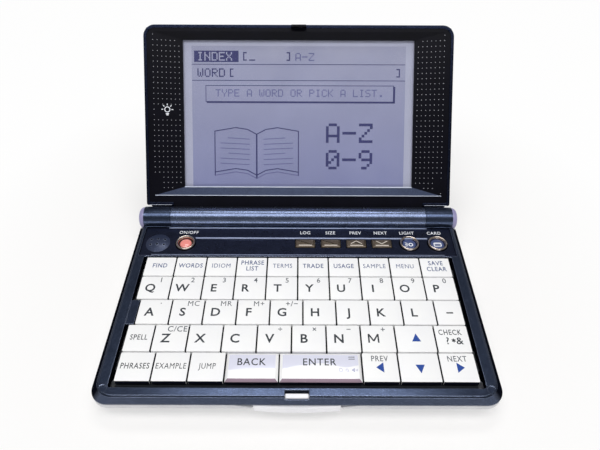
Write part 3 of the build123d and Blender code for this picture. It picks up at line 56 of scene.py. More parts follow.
# -------------------------------- places, in millimetres
MM = 0.001
LEAN = radians(50.0)
hinge_place = [joint for joint in frame["joints"] if joint["name"] == "lid_hinge"][0]["pos_m"]
HINGE = Vector(hinge_place) * 1000
BARREL_RADIUS = 5.2
LID_PLACE = Matrix.Translation(HINGE) @ Matrix.Rotation(LEAN, 4, "X")

STRIP_TOP = 13.5
PRINT_GAP = 0.02
DISPLAY_INK = -3.735
DISPLAY_BRIGHT_INK = -3.72
GLYPH_HALF = 48.1
GLYPH_TOP = 77.2
FUNNEL_OUTER = (64.7, 10.3, 82.5, -0.25)
FUNNEL_INNER = (51.7, 14.1, 79.45, -2.5)
FLOOR_LIFT = (0.48, 0.95)
WORLD_LEVEL = 0.26


def span(node):
    """Lowest and highest corner of a CAD node."""
    low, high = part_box(node)
    return low * 1000, high * 1000


front_row, back_row = (corner.y for corner in span("back_key"))


# -------------------------------- materials
def linear(colour):
    """An sRGB hex colour as linear red, green, blue and alpha."""
    parts = [int(colour[i : i + 2], 16) / 255 for i in (1, 3, 5)]
    return [c / 12.92 if c <= 0.04045 else ((c + 0.055) / 1.055) ** 2.4 for c in parts] + [1.0]


def put(tree, kind, inputs, out=0, **settings):
    """Adds a node with its settings and links, and gives one of its outputs."""
    node = tree.nodes.new("ShaderNode" + kind)
    for name, value in settings.items():
        setattr(node, name, value)
    for name, value in inputs.items():
        if isinstance(value, bpy.types.NodeSocket):
            tree.links.new(value, node.inputs[name])
        else:
            node.inputs[name].default_value = value
    return node.outputs[out] if node.outputs else node


def start(name):
    """An empty material and its object coordinates."""
    material = bpy.data.materials.new(name)
    material.use_nodes = True
    tree = material.node_tree
    tree.nodes.clear()
    return material, tree, put(tree, "TexCoord", {}, "Object")


def surface(material, tree, values):
    """Closes a material with its shader."""
    put(tree, "OutputMaterial", {"Surface": put(tree, "BsdfPrincipled", values)})
    return material


def lacquer(name, base, flake, shade, roughness, metallic, coat, edge=None, on_barrel=False):
    """Metallic lacquer sprayed on moulded ABS.

    It gives a deep colour that only shows its light where it mirrors a lamp, with fine glinting
    flakes and a faint cloudiness of the spray.  Real flakes are near 0.05 mm; they are drawn at
    0.25 mm so that they show.  Where an edge colour is given, a highlight of that colour is painted
    along edges across the case, and side walls facing along X get painted shade, matt and nearly
    black.  Where the lacquer lies on the hinge barrel, it is smoother, its gloss follows the true round
    and no edge highlight is painted.
    """
    material, tree, place = start(name)
    glint = put(tree, "TexVoronoi", {"Vector": place, "Scale": 1000 / 0.25}, "Color")
    glint = put(tree, "MapRange", {0: glint, 1: 0.6, 2: 1.0, 3: 0.0, 4: 0.45})
    cloud = put(tree, "TexNoise", {"Vector": place, "Scale": 1000 / 7.0, "Detail": 4.0})
    cloud = put(tree, "MapRange", {0: cloud, 1: 0.35, 2: 0.65, 3: 0.0, 4: 0.6})
    colour = {0: cloud, 6: linear(base), 7: linear(shade)}
    colour = put(tree, "Mix", colour, 2, data_type="RGBA")
    colour = put(tree, "Mix", {0: glint, 6: colour, 7: linear(flake)}, 2, data_type="RGBA")
    softened = put(tree, "Bevel", {"Radius": 0.3 * MM}, samples=6)
    rounded = softened
    if on_barrel:
        spoke = put(tree, "VectorMath", {0: place, 1: HINGE * MM}, "Vector", operation="SUBTRACT")
        spoke = put(tree, "VectorMath", {0: spoke, 1: (0, 1, 1)}, "Vector", operation="MULTIPLY")
        length = put(tree, "VectorMath", {0: spoke}, "Value", operation="LENGTH")
        off = put(tree, "Math", {0: length, 1: BARREL_RADIUS * MM}, operation="SUBTRACT")
        off = put(tree, "Math", {0: off}, operation="ABSOLUTE")
        near = put(tree, "MapRange", {0: off, 1: 0.08 * MM, 2: 0.12 * MM, 3: 1.0, 4: 0.0})
        clear = put(tree, "MapRange", {0: off, 1: 0.4 * MM, 2: 0.8 * MM, 3: 0.0, 4: 1.0})
        to_world = {"vector_type": "NORMAL", "convert_from": "OBJECT", "convert_to": "WORLD"}
        spoke = put(tree, "VectorTransform", {0: spoke}, **to_world)
        spoke = put(tree, "VectorMath", {0: spoke}, "Vector", operation="NORMALIZE")
        round_way = {0: near, 4: rounded, 5: spoke}
        rounded = put(tree, "Mix", round_way, 1, data_type="VECTOR")
    patchy = put(tree, "TexNoise", {"Vector": place, "Scale": 1000 / 3.0})
    low, high = roughness * 0.88, roughness * 1.12
    gloss = put(tree, "MapRange", {0: patchy, 1: 0.3, 2: 0.7, 3: low, 4: high})
    peel = put(tree, "TexNoise", {"Vector": place, "Scale": 1000 / 0.6})
    depth = 0.08 if on_barrel else 0.2
    peel = {"Height": peel, "Distance": 0.01 * MM, "Strength": depth, "Normal": rounded}
    values = {
        "Metallic": metallic,
        "Roughness": gloss,
        "Normal": put(tree, "Bump", peel),
        "Specular IOR Level": 0.0 if edge else 0.25,
        "Coat Weight": coat,
        "Coat Roughness": 0.15,
    }
    if edge:
        # painted shade: walls facing along X are mixed to near black and lose their metal
        facing = put(tree, "SeparateXYZ", {0: put(tree, "TexCoord", {}, "Normal")}, "X")
        facing = put(tree, "Math", {0: facing}, operation="ABSOLUTE")
        clear_of_side_shade = put(tree, "MapRange", {0: facing, 1: 0.5, 2: 0.7, 3: 1.0, 4: 0.0})
        # painted highlight: where the rounded normal turns away from the flat one, edges take the pale
        # edge colour
        flat = put(tree, "NewGeometry", {}, "Normal")
        along = put(tree, "VectorMath", {0: softened, 1: flat}, "Value", operation="DOT_PRODUCT")
        painted_edge_highlight = put(tree, "MapRange", {0: along, 1: 0.99, 2: 0.93, 3: 0.0, 4: 0.8})
        if on_barrel:
            painted_edge_highlight = put(tree, "Math", {0: painted_edge_highlight, 1: clear}, operation="MULTIPLY")
        colour = put(tree, "Mix", {0: painted_edge_highlight, 6: colour, 7: linear(edge)}, 2, data_type="RGBA")
        # the painted shade on the side walls
        painted_side_shade = {0: clear_of_side_shade, 6: linear("#0b0d16"), 7: colour}
        colour = put(tree, "Mix", painted_side_shade, 2, data_type="RGBA")
        values["Metallic"] = put(tree, "MapRange", {0: clear_of_side_shade, 1: 0.0, 2: 1.0, 3: 0.0, 4: metallic})
    values["Base Color"] = colour
    return surface(material, tree, values)


def moulded(name, base, tint, roughness, grit, specular=0.5, coat=0.0):
    """Injection-moulded plastic from a spark-eroded tool.

    It gives an even colour with a little drift over the moulding, and a fine grit that breaks up
    the gloss.
    """
    material, tree, place = start(name)
    drift = put(tree, "TexNoise", {"Vector": place, "Scale": 1000 / 9.0, "Detail": 3.0})
    drift = put(tree, "MapRange", {0: drift, 1: 0.3, 2: 0.7, 3: 0.0, 4: 1.0})
    rounded = put(tree, "Bevel", {"Radius": 0.12 * MM}, samples=4)
    skin = put(tree, "TexNoise", {"Vector": place, "Scale": 1000 / grit})
    skin = {"Height": skin, "Distance": 0.015 * MM, "Strength": 0.3, "Normal": rounded}
    gloss = put(tree, "TexNoise", {"Vector": place, "Scale": 1000 / (3 * grit)})
    gloss = {0: gloss, 1: 0.3, 2: 0.7, 3: roughness * 0.9, 4: roughness * 1.1}
    colour = {0: drift, 6: linear(base), 7: linear(tint)}
    values = {
        "Base Color": put(tree, "Mix", colour, 2, data_type="RGBA"),
        "Roughness": put(tree, "MapRange", gloss),
        "Normal": put(tree, "Bump", skin),
        "Specular IOR Level": specular,
        "Coat Weight": coat,
        "Coat Roughness": 0.08,
    }
    return surface(material, tree, values)


def plated(name, base, dark, roughness, brush, metallic=1.0):
    """Metal plate, polished along X.

    It gives sharp dark and light reflections, drawn out a little by the faint polishing marks.
    Real marks are near 0.05 mm apart; they are drawn wider so that they show.
    """
    material, tree, place = start(name)
    stretched = put(tree, "Mapping", {"Vector": place, "Scale": (0.15, 1.0, 1.0)})
    marks = put(tree, "TexNoise", {"Vector": stretched, "Scale": 1000 / brush, "Detail": 3.0})
    share = put(tree, "MapRange", {0: marks, 1: 0.35, 2: 0.65, 3: 0.0, 4: 1.0})
    gloss = {0: marks, 1: 0.3, 2: 0.7, 3: roughness * 0.7, 4: roughness * 1.3}
    colour = {0: share, 6: linear(base), 7: linear(dark)}
    values = {
        "Base Color": put(tree, "Mix", colour, 2, data_type="RGBA"),
        "Metallic": metallic,
        "Roughness": put(tree, "MapRange", gloss),
        "Normal": put(tree, "Bump", {"Height": marks, "Distance": 0.004 * MM, "Strength": 0.2}),
    }
    return surface(material, tree, values)


def printed(name, base, faded):
    """Pad-printed ink: a thin matt film, a little paler where it is thin."""
    material, tree, place = start(name)
    thin = put(tree, "TexNoise", {"Vector": place, "Scale": 1000 / 0.5})
    thin = put(tree, "MapRange", {0: thin, 1: 0.45, 2: 0.75, 3: 0.0, 4: 0.6})
    colour = {0: thin, 6: linear(base), 7: linear(faded)}
    values = {
        "Base Color": put(tree, "Mix", colour, 2, data_type="RGBA"),
        "Roughness": 0.55,
        "Specular IOR Level": 0.25,
    }
    return surface(material, tree, values)


def cap_with_painted_reflection():
    """Clear acrylic cap with a painted lavender reflection.

    It gives a painted lavender reflection on the back half that ends along a wavy line in white
    towards the user, under a wet gloss.
    """
    material, tree, place = start("pearl_caps_painted_reflection")
    axes = put(tree, "SeparateXYZ", {0: place}, "Y")
    wave = put(tree, "TexNoise", {"Vector": place, "Scale": 1000 / 16.0, "Detail": 1.0})
    wave = put(tree, "Math", {0: wave, 1: 9.0 * MM}, operation="MULTIPLY")
    line = put(tree, "Math", {0: axes, 1: wave}, operation="SUBTRACT")
    middle = (back_row + front_row) / 2 * MM
    # painted reflection: behind a wavy line the top turns lavender
    reflection_share = {0: line, 1: middle - 5.5 * MM, 2: middle - 5.1 * MM, 3: 0.0, 4: 1.0}
    reflection_share = put(tree, "MapRange", reflection_share, interpolation_type="SMOOTHSTEP")
    colour = {0: reflection_share, 6: linear("#fbfbfe"), 7: linear("#e2e3f3")}
    skin = put(tree, "TexNoise", {"Vector": place, "Scale": 1000 / 1.4})
    values = {
        "Base Color": put(tree, "Mix", colour, 2, data_type="RGBA"),
        "Roughness": 0.2,
        "Normal": put(tree, "Bump", {"Height": skin, "Distance": 0.01 * MM, "Strength": 0.2}),
        "Coat Weight": 0.5,
        "Coat Roughness": 0.05,
    }
    return surface(material, tree, values)


def display_film():
    """The reflector film behind the liquid crystal.

    It gives a flat grey-violet ground that pales a little towards the top, a brighter frame
    outside the dots, and the 0.3 mm mesh of the dots.
    """
    material, tree, place = start("display_reflector_film")
    turned_back = Matrix.Rotation(-LEAN, 3, "X")
    flat = {"Vector": place, "Rotation": (-LEAN, 0, 0), "Location": -(turned_back @ (HINGE * MM))}
    axes = put(tree, "SeparateXYZ", {0: put(tree, "Mapping", flat)}).node.outputs
    side = put(tree, "Math", {0: axes[0]}, operation="ABSOLUTE")
    edge = 0.1 * MM
    beside = {0: side, 1: GLYPH_HALF * MM - edge, 2: GLYPH_HALF * MM + edge, 3: 0.0, 4: 1.0}
    above = {0: axes[1], 1: GLYPH_TOP * MM - edge, 2: GLYPH_TOP * MM + edge, 3: 0.0, 4: 1.0}
    margin = {0: put(tree, "MapRange", beside), 1: put(tree, "MapRange", above)}
    margin = put(tree, "Math", margin, operation="MAXIMUM")
    rise = put(tree, "MapRange", {0: axes[1], 1: 14 * MM, 2: 80 * MM, 3: 0.0, 4: 1.0})
    ground = {0: rise, 6: linear("#8b90bb"), 7: linear("#b0b2c6")}
    ground = put(tree, "Mix", ground, 2, data_type="RGBA")
    for size, share, tone in [(14.0, 0.35, "#9aa0bf"), (0.45, 0.22, "#7d80ab")]:
        spots = put(tree, "TexNoise", {"Vector": place, "Scale": 1000 / size, "Detail": 3.0})
        spots = put(tree, "MapRange", {0: spots, 1: 0.3, 2: 0.7, 3: 0.0, 4: share})
        ground = put(tree, "Mix", {0: spots, 6: ground, 7: linear(tone)}, 2, data_type="RGBA")
    for axis in (0, 1):
        wave = put(tree, "Math", {0: axes[axis], 1: 0.3 * MM}, operation="PINGPONG")
        mesh = put(tree, "MapRange", {0: wave, 1: 0.02 * MM, 2: 0.07 * MM, 3: 0.12, 4: 0.0})
        ground = put(tree, "Mix", {0: mesh, 6: ground, 7: linear("#6a6d95")}, 2, data_type="RGBA")
    colour = {0: margin, 6: ground, 7: linear("#b6b9cf")}
    colour = put(tree, "Mix", colour, 2, data_type="RGBA")
    values = {"Base Color": colour, "Roughness": 0.6, "Specular IOR Level": 0.2}
    return surface(material, tree, values)


def clear_window():
    """Clear cast acrylic: little but a sharp gloss, with a faint smoky tone."""
    material, tree, place = start("clear_acrylic_window")
    haze = put(tree, "TexNoise", {"Vector": place, "Scale": 1000 / 20.0})
    values = {
        "Base Color": linear("#7a7c92"),
        "Roughness": 0.06,
        "Alpha": put(tree, "MapRange", {0: haze, 1: 0.3, 2: 0.7, 3: 0.05, 4: 0.08}),
        "IOR": 1.49,
        "Specular IOR Level": 0.3,
    }
    return surface(material, tree, values)


def solder_mask():
    """Green lacquer over glass-fibre board, with the paler lanes of its copper tracks."""
    material, tree, place = start("green_solder_mask")
    lanes = {
        "Vector": place,
        "Scale": 1000 / 6.0,
        "Mortar Size": 0.04,
        "Mortar": linear("#4f8f6c"),
        "Color1": linear("#1f5a3e"),
        "Color2": linear("#245f44"),
    }
    lanes = put(tree, "TexBrick", lanes).node.outputs
    raised = {"Height": lanes["Fac"], "Distance": 0.03 * MM, "Strength": 0.4}
    values = {
        "Base Color": lanes["Color"],
        "Roughness": 0.35,
        "Normal": put(tree, "Bump", raised),
    }
    return surface(material, tree, values)


# sprayed shells: deep navy, with a pale painted highlight along the edges and painted shade, nearly
# black, on the side walls
NAVY = lacquer(
    "navy_metallic_lacquer", "#3b4459", "#6f7c97", "#323b4e", 0.24, 0.9, 0.0, "#a3adc4", on_barrel=True
)
# the lid shell is the same lacquer, painted darker as shade
LID_NAVY_SHADED = lacquer("lid_navy_lacquer_painted_shade", "#1f2436", "#3c4560", "#1a1f2f", 0.28, 0.9, 0.0, "#2a3148")
# the strip is the same lacquer painted darker as shade, and duller, so its white words stand out
STRIP_NAVY_SHADED = lacquer("strip_lacquer_painted_shade", "#252a3e", "#3f4760", "#1f2436", 0.3, 0.85, 0.0)
# moulded ridges of the strip and rims: painted pale as a highlight along them
RIDGE_HIGHLIGHT = lacquer("ridge_lacquer_painted_highlight", "#8a94af", "#b7bfd4", "#7b85a0", 0.36, 0.6, 0.1)
# the barrel has a smooth gloss that draws one long blue light along it; its lacquer is painted paler than
# the deck's so that this light shows brighter
BARREL_NAVY_LIT = lacquer(
    "gloss_barrel_lacquer_painted_paler", "#5b657e", "#98a3be", "#4e576c", 0.25, 0.95, 0.0, on_barrel=True
)
# the face under the display: a satin slate sheet with a fine grain, a painted reflection laid over the
# black bevel
SLATE_REFLECTION_FACE = lacquer("slate_face_painted_reflection", "#2c364f", "#4b5775", "#252e45", 0.4, 0.3, 0.0)
# the lips beside it are painted pale as thin highlight lines
LIP_HIGHLIGHT = moulded("lip_painted_highlight", "#c3cbe0", "#d4dbec", 0.2, 0.4, coat=0.5)
# a satin dark dome over the speaker
DOME_NAVY = lacquer("satin_dome_lacquer", "#343c54", "#545f7c", "#2c3349", 0.42, 0.4, 0.1)
# black ABS: deep black with hardly any gloss, so the display stands out
BLACK_BEZEL = moulded("black_moulded_abs", "#06060e", "#090914", 0.36, 0.35, specular=0.1)
# holes and gaps: black that gives no light back, painted where there is only shade
SHADE_BLACK = moulded("black_painted_shade", "#020204", "#040406", 0.7, 0.5, specular=0.0)
# small raised pips, painted pale grey as their glints
PIP_GLINT = moulded("pips_painted_glint", "#c9cbd6", "#d6d8e0", 0.35, 0.3)
# pale silver paint over the tray: nearly white with a fine metal sparkle
TRAY = lacquer("silver_tray_lacquer", "#cfd0d4", "#f4f4f8", "#bfc0c6", 0.38, 0.15, 0.1)
# the latch bar is sprayed lighter than the tray
LATCH = lacquer("pale_silver_latch_lacquer", "#f2f2f6", "#ffffff", "#e9e9ef", 0.36, 0.05, 0.1)
# lavender ABS caps with a soft sheen
LAVENDER = moulded("lavender_moulded_caps", "#918db6", "#9c98bf", 0.34, 0.4)
# white ABS keys, clean and almost flat in tone
WHITE_KEY = moulded("white_moulded_keys", "#fbfbfa", "#f8f8f9", 0.42, 0.25, specular=0.3)
# the side walls of the keys get painted shade, charcoal, for the shade they stand in between one another
KEY_WALL_SHADE = moulded("key_walls_painted_shade", "#14172a", "#181b2e", 0.6, 0.5, specular=0.1)
# the front slope of the wide keys has a painted mauve reflection
KEY_SLOPE_REFLECTION = moulded("key_slope_painted_reflection", "#a890a0", "#9a8494", 0.25, 0.8, coat=0.5)
# dark brown ABS flange round the power button
DARK_BROWN = moulded("dark_brown_abs_flange", "#35251f", "#3d2b24", 0.4, 0.5)
# glossy salmon acrylic that shines like a sweet
SALMON = moulded("salmon_acrylic_button", "#f58a82", "#f7958c", 0.15, 1.0, coat=1.0)
# slate ABS buttons with a clear lacquer
SLATE = moulded("slate_abs_buttons", "#3d4a76", "#465482", 0.25, 0.8, coat=0.4)
# nickel-chrome rings with warm brown reflections
CHROME = plated("warm_chrome_plate", "#cfc6bf", "#a5968b", 0.14, 0.4)
# smoked chrome bars, dark bronze in tone
BRONZE = plated("smoked_chrome_bars", "#6d6153", "#5b5046", 0.3, 0.4, metallic=0.5)
# the raised chevrons of the bars, and the pale painted highlight line along their front
CHEVRON_AND_HIGHLIGHT_BRONZE = plated("pale_chevrons_and_painted_highlight", "#efe6dc", "#d6cabd", 0.3, 0.4, metallic=0.3)
# zinc-plated steel of pins and screws
STEEL = plated("zinc_plated_steel", "#b9bcc2", "#a2a5ab", 0.28, 0.3)
# shrink-wrapped foil round the cells
CELL_JACKET = plated("printed_cell_jacket", "#5c6068", "#4d5159", 0.3, 0.6)
BOARD = solder_mask()
# grey silicone rubber, dull and soft
SHEET = moulded("grey_silicone_sheet", "#2c2f36", "#26292f", 0.7, 0.4, specular=0.2)
# black rubber feet, dusty and dull
RUBBER = moulded("black_rubber_feet", "#1b1b1d", "#232325", 0.75, 0.25)
# charcoal polycarbonate of the memory card
CARD = moulded("charcoal_card_shell", "#2c2f38", "#343741", 0.4, 0.3)
FILM = display_film()
WINDOW = clear_window()
PEARL_CAP_REFLECTION = cap_with_painted_reflection()
# inks of the keys, the strip and the display
DARK_INK = printed("dark_grey_key_ink", "#363b41", "#41464c")
GREY_INK = printed("mid_grey_key_ink", "#5d6268", "#6c7177")
SLATE_INK = printed("slate_blue_key_ink", "#4f5f88", "#5c6c98")
BLUE_INK = printed("blue_arrow_ink", "#254a9c", "#3154a4")
PALE_INK = printed("pale_strip_ink", "#f0f3fa", "#d8dfec")
FAINT_INK = printed("faint_lavender_ink", "#b9bad2", "#c3c4da")
DISPLAY_DARK = printed("display_dark_dots", "#33356b", "#3c3e74")
DISPLAY_GREY = printed("display_grey_dots", "#6b6e9c", "#7477a4")

for node, material in {
    "upper_case": NAVY,
    "lid_cover": LID_NAVY_SHADED,
    "control_panel": STRIP_NAVY_SHADED,
    "hinge_barrel": BARREL_NAVY_LIT,
    "lid_bezel": BLACK_BEZEL,
    "lid_hook": BLACK_BEZEL,
    "lower_case": TRAY,
    "battery_cover": TRAY,
    "latch_button": LATCH,
    "hinge_caps": LAVENDER,
    "hinge_pins": STEEL,
    "case_screws": STEEL,
    "rubber_feet": RUBBER,
    "circuit_board": BOARD,
    "key_membrane": SHEET,
    "batteries": CELL_JACKET,
    "memory_card": CARD,
    "lcd_panel": FILM,
    "display_window": WINDOW,
}.items():
    for slot in cad[node].material_slots:
        slot.material = material


# -------------------------------- shaping
def show(thing):
    """Puts an object in the scene."""
    bpy.context.scene.collection.objects.link(thing)


def round_off(shape, geom, offset, segments, affect="EDGES"):
    """Rounds edges or corners, or chamfers them where one segment is asked."""
    bmesh.ops.bevel(
        shape,
        geom=geom,
        offset=offset,
        offset_type="OFFSET",
        segments=segments,
        profile=0.5,
        affect=affect,
        material=-1,
    )


def upright_edges(shape):
    """The upright edges of a block."""
    return [e for e in shape.edges if abs(e.verts[0].co.z - e.verts[1].co.z) > 0.5]


def upper_edges(shape, top):
    """The edges round the top of a block."""
    return [e for e in shape.edges if min(v.co.z for v in e.verts) > top - 0.01]


def block(shape, low, high):
    """Adds a plain block between two corners, to be cut and rounded further."""
    low, high = Vector(low), Vector(high)
    matrix = Matrix.Translation((low + high) / 2) @ Matrix.Diagonal((*(high - low), 1))
    return bmesh.ops.create_cube(shape, size=1, matrix=matrix)["verts"]


def turned(profile, steps=64):
    """A shape turned about the upright axis from points given as (radius, height)."""
    shape = bmesh.new()
    points = [shape.verts.new((radius, 0, height)) for radius, height in profile]
    edges = [shape.edges.new(pair) for pair in zip(points, points[1:])]
    bmesh.ops.spin(
        shape,
        geom=points + edges,
        cent=(0, 0, 0),
        axis=(0, 0, 1),
        angle=2 * pi,
        steps=steps,
        use_merge=True,
        use_duplicate=False,
    )
    bmesh.ops.remove_doubles(shape, verts=shape.verts, dist=1e-4)
    bmesh.ops.recalc_face_normals(shape, faces=shape.faces)
    return shape


def moved_to(shape, place):
    """Moves a whole drawing and gives it back."""
    bmesh.ops.translate(shape, verts=shape.verts, vec=place)
    return shape


def join(target, addition, slot=None):
    """Adds one drawing to another, on a material slot or on the slots it has."""
    mesh = bpy.data.meshes.new("part")
    addition.to_mesh(mesh)
    addition.free()
    take(target, mesh, slot)


def rod(target, begin, end, y, z, radius, segments, slot=None):
    """Adds a round bar that lies along X."""
    bar = bmesh.new()
    lay = Matrix.Translation(((begin + end) / 2, y, z)) @ Matrix.Rotation(pi / 2, 4, "Y")
    sizes = {"radius1": radius, "radius2": radius, "depth": end - begin}
    bmesh.ops.create_cone(bar, cap_ends=True, segments=segments, matrix=lay, **sizes)
    join(target, bar, slot)


def take(target, mesh, slot):
    """Adds a mesh to a drawing and removes the mesh."""
    first = len(target.faces)
    target.from_mesh(mesh)
    target.faces.ensure_lookup_table()
    if slot is not None:
        for face in target.faces[first:]:
            face.material_index = slot
    bpy.data.meshes.remove(mesh)


def finish(shape, name, materials, body, place=None, sharp=32.0):
    """Makes a drawing into a piece that moves with a body."""
    scaled = Matrix.Scale(MM, 4)
    bmesh.ops.transform(shape, matrix=scaled @ (place or Matrix()), verts=shape.verts)
    mesh = bpy.data.meshes.new(name)
    shape.to_mesh(mesh)
    shape.free()
    for material in materials:
        mesh.materials.append(material)
    mesh.shade_smooth()
    mesh.set_sharp_from_angle(angle=radians(sharp))
    piece = bpy.data.objects.new(name, mesh)
    show(piece)
    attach(piece, body)
    return piece


# -------------------------------- printing
def words(target, text, size, place, slot, weight=0.0, narrow=1.0):
    """Prints characters on a flat top, centred across a point and standing about it."""
    curve = bpy.data.curves.new("print", "FONT")
    curve.body = text
    curve.size = size
    curve.offset = weight
    curve.resolution_u = 3
    curve.space_character = 1.12
    setting = bpy.data.objects.new("print", curve)
    show(setting)
    bpy.context.view_layer.update()
    mesh = bpy.data.meshes.new_from_object(setting)
    across = [vertex.co.x for vertex in mesh.vertices]
    middle = (min(across) + max(across)) / 2
    cap_middle = 0.365 * size
    mesh.transform(
        Matrix.Translation(place)
        @ Matrix.Diagonal((narrow, 1, 1, 1))
        @ Matrix.Translation((-middle, -cap_middle, 0))
    )
    take(target, mesh, slot)
    bpy.data.objects.remove(setting)
    bpy.data.curves.remove(curve)


def dash(target, begin, end, width, slot):
    """Prints a straight stroke."""
    begin, end = Vector(begin), Vector(end)
    along = end - begin
    turn = Matrix.Rotation(Vector((1, 0)).angle_signed(along.xy) * -1, 4, "Z")
    matrix = Matrix.Translation((begin + end) / 2) @ turn @ Matrix.Diagonal((along.length, width, 1, 1))
    first = len(target.faces)
    bmesh.ops.create_grid(target, x_segments=1, y_segments=1, size=0.5, matrix=matrix)
    target.faces.ensure_lookup_table()
    for face in target.faces[first:]:
        face.material_index = slot


def outline(target, place, width, depth, radius, line, slot):
    """Prints a round-cornered frame."""
    drawing = bmesh.new()
    matrix = Matrix.Translation(place) @ Matrix.Diagonal((width, depth, 1, 1))
    bmesh.ops.create_grid(drawing, x_segments=1, y_segments=1, size=0.5, matrix=matrix)
    if radius > 0:
        round_off(drawing, drawing.verts[:], radius, 8, "VERTICES")
    drawing.faces.ensure_lookup_table()
    inner = drawing.faces[0]
    edge_kept = {"use_boundary": True, "use_even_offset": True}
    bmesh.ops.inset_region(drawing, faces=[inner], thickness=line, **edge_kept)
    bmesh.ops.delete(drawing, geom=[inner], context="FACES")
    join(target, drawing, slot)


def triangle(target, place, width, height, turn, slot):
    """Prints a solid arrow head that points away from the user before it is turned."""
    drawing = bmesh.new()
    matrix = (
        Matrix.Translation(place)
        @ Matrix.Diagonal((width / sqrt(3), height / 1.5, 1, 1))
        @ Matrix.Rotation(radians(turn), 4, "Z")
    )
    bmesh.ops.create_circle(drawing, cap_ends=True, segments=3, radius=1, matrix=matrix)
    join(target, drawing, slot)


# -------------------------------- keys
LETTER_AT = (0.36, 0.50)
CORNER_AT = (0.67, 0.15)
LETTER_SIZE = 5.2
LETTER_STROKE = 0.58
CORNER_SIZE = 3.4
WORD_SIZE = 3.2
CORNER_RADIUS = 0.35
TOP_EDGE = 0.2
WIDE_CHAMFER = 1.0
WIDE_DROP = 0.85
KEY_MATERIALS = [WHITE_KEY, DARK_INK, SLATE_INK, BLUE_INK, GREY_INK, KEY_WALL_SHADE]
DARK, SLATE_BLUE, BLUE, GREY_MARK, WALL_SHADE = 1, 2, 3, 4, 5


def shade_walls(shape, slot, front=False):
    """Paints shade on the side walls of a cap, and on its front wall if asked, through the dark slot."""
    for face in shape.faces:
        if abs(face.normal.x) > 0.9 or (front and face.normal.y < -0.9):
            face.material_index = slot


def keycap(low, high, front=False):
    """A hollow moulded cap with small round corners and softened upper edges."""
    shape = bmesh.new()
    block(shape, low, high)
    round_off(shape, upright_edges(shape), CORNER_RADIUS, 3)
    round_off(shape, upper_edges(shape, high.z), TOP_EDGE, 3)
    hollow(shape, high.z - low.z)
    shade_walls(shape, WALL_SHADE, front)
    return shape


def hollow(shape, height):
    """Opens the underside of a cap and pushes the opening up inside it."""
    under = min(shape.faces, key=lambda face: face.calc_center_median().z)
    bmesh.ops.inset_region(shape, faces=[under], thickness=0.8, depth=0)
    bmesh.ops.inset_region(shape, faces=[under], thickness=0.02, depth=-(height - 0.9))


def on_key(low, high, at):
    """A point on a key's top, given as shares from its left and from its back edge."""
    x = low.x + (high.x - low.x) * at[0]
    y = high.y - (high.y - low.y) * at[1]
    return Vector((x, y, high.z + PRINT_GAP))


def big_letter(target, letter, place, slot):
    """A bold letter; M is drawn with four strokes, because its outline can't be thickened."""
    if letter != "M":
        words(target, letter, LETTER_SIZE, place, slot, weight=0.1)
        return
    half, top = 1.75, 1.85
    corners = [(-half, -top), (-half, top), (0, -top * 0.6), (half, top), (half, -top)]
    corners = [place + Vector((*corner, 0)) for corner in corners]
    for begin, end in zip(corners, corners[1:]):
        dash(target, begin, end, LETTER_STROKE, slot)


def letter_key(node, letter, corner_mark):
    """One letter key with its letter and the small mark in its corner."""
    low, high = span(node)
    shape = keycap(low, high)
    big_letter(shape, letter, on_key(low, high, LETTER_AT), DARK)
    if corner_mark:
        plain = not set(corner_mark) & set("M")
        at = on_key(low, high, CORNER_AT)
        words(shape, corner_mark, CORNER_SIZE, at, GREY_MARK, weight=0.03 * plain, narrow=0.92)
    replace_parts(finish(shape, f"{node}_cap", KEY_MATERIALS, node), node)


for letters, marks in [
    ("qwertyuiop", list("1234567890")),
    ("asdfghjkl", ["·", "MC", "MR", "M+", "+/−", "", "", "", ""]),
    ("zxcvbnm", ["C/CE", "", "", "÷", "×", "−", "+"]),
]:
    for letter, mark in zip(letters, marks):
        letter_key(f"key_{letter}", letter.upper(), mark)

low, high = span("key_minus")
shape = keycap(low, high)
middle = on_key(low, high, (0.52, 0.52))
dash(shape, middle - Vector((1.3, 0, 0)), middle + Vector((1.3, 0, 0)), 0.6, DARK)
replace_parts(finish(shape, "key_minus_cap", KEY_MATERIALS, "key_minus"), "key_minus")

for node, turn, size, label in [
    ("arrow_up", 0, (3.3, 3.4), ""),
    ("arrow_down", 180, (3.3, 3.4), ""),
    ("arrow_left", 90, (3.1, 3.5), "PREV"),
    ("arrow_right", -90, (3.1, 3.5), "NEXT"),
]:
    low, high = span(node)
    shape = keycap(low, high, front=node != "arrow_up")
    triangle(shape, on_key(low, high, (0.52, 0.51)), size[0], size[1], turn, BLUE)
    if label:
        at = on_key(low, high, (0.5, 0.19))
        words(shape, label, WORD_SIZE, at, GREY_MARK, weight=0.025, narrow=0.8)
    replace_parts(finish(shape, f"{node}_cap", KEY_MATERIALS, node), node)

# the ten upper keys share one node, in equal cells
GAP = 0.5
UPPER_WORDS = "FIND,WORDS,IDIOM,PHRASE\nLIST,TERMS,TRADE,USAGE,SAMPLE,MENU,SAVE\nCLEAR".split(",")
low, high = span("dictionary_keys")
cell = (high.x - low.x + GAP) / len(UPPER_WORDS)
shape = bmesh.new()
for place, label in enumerate(UPPER_WORDS):
    left = Vector((low.x + place * cell, low.y, low.z))
    right = Vector((left.x + cell - GAP, high.y, high.z))
    join(shape, keycap(left, right))
    lines = label.split("\n")
    for row, line in enumerate(lines):
        at = on_key(left, right, (0.5, 0.44) if len(lines) == 1 else (0.52, 0.27 + 0.32 * row))
        weight = 0.0 if "M" in line else 0.04
        words(shape, line, WORD_SIZE, at, SLATE_BLUE, weight=weight, narrow=0.8)
finished = finish(shape, "dictionary_keys_caps", KEY_MATERIALS, "dictionary_keys")
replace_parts(finished, "dictionary_keys")

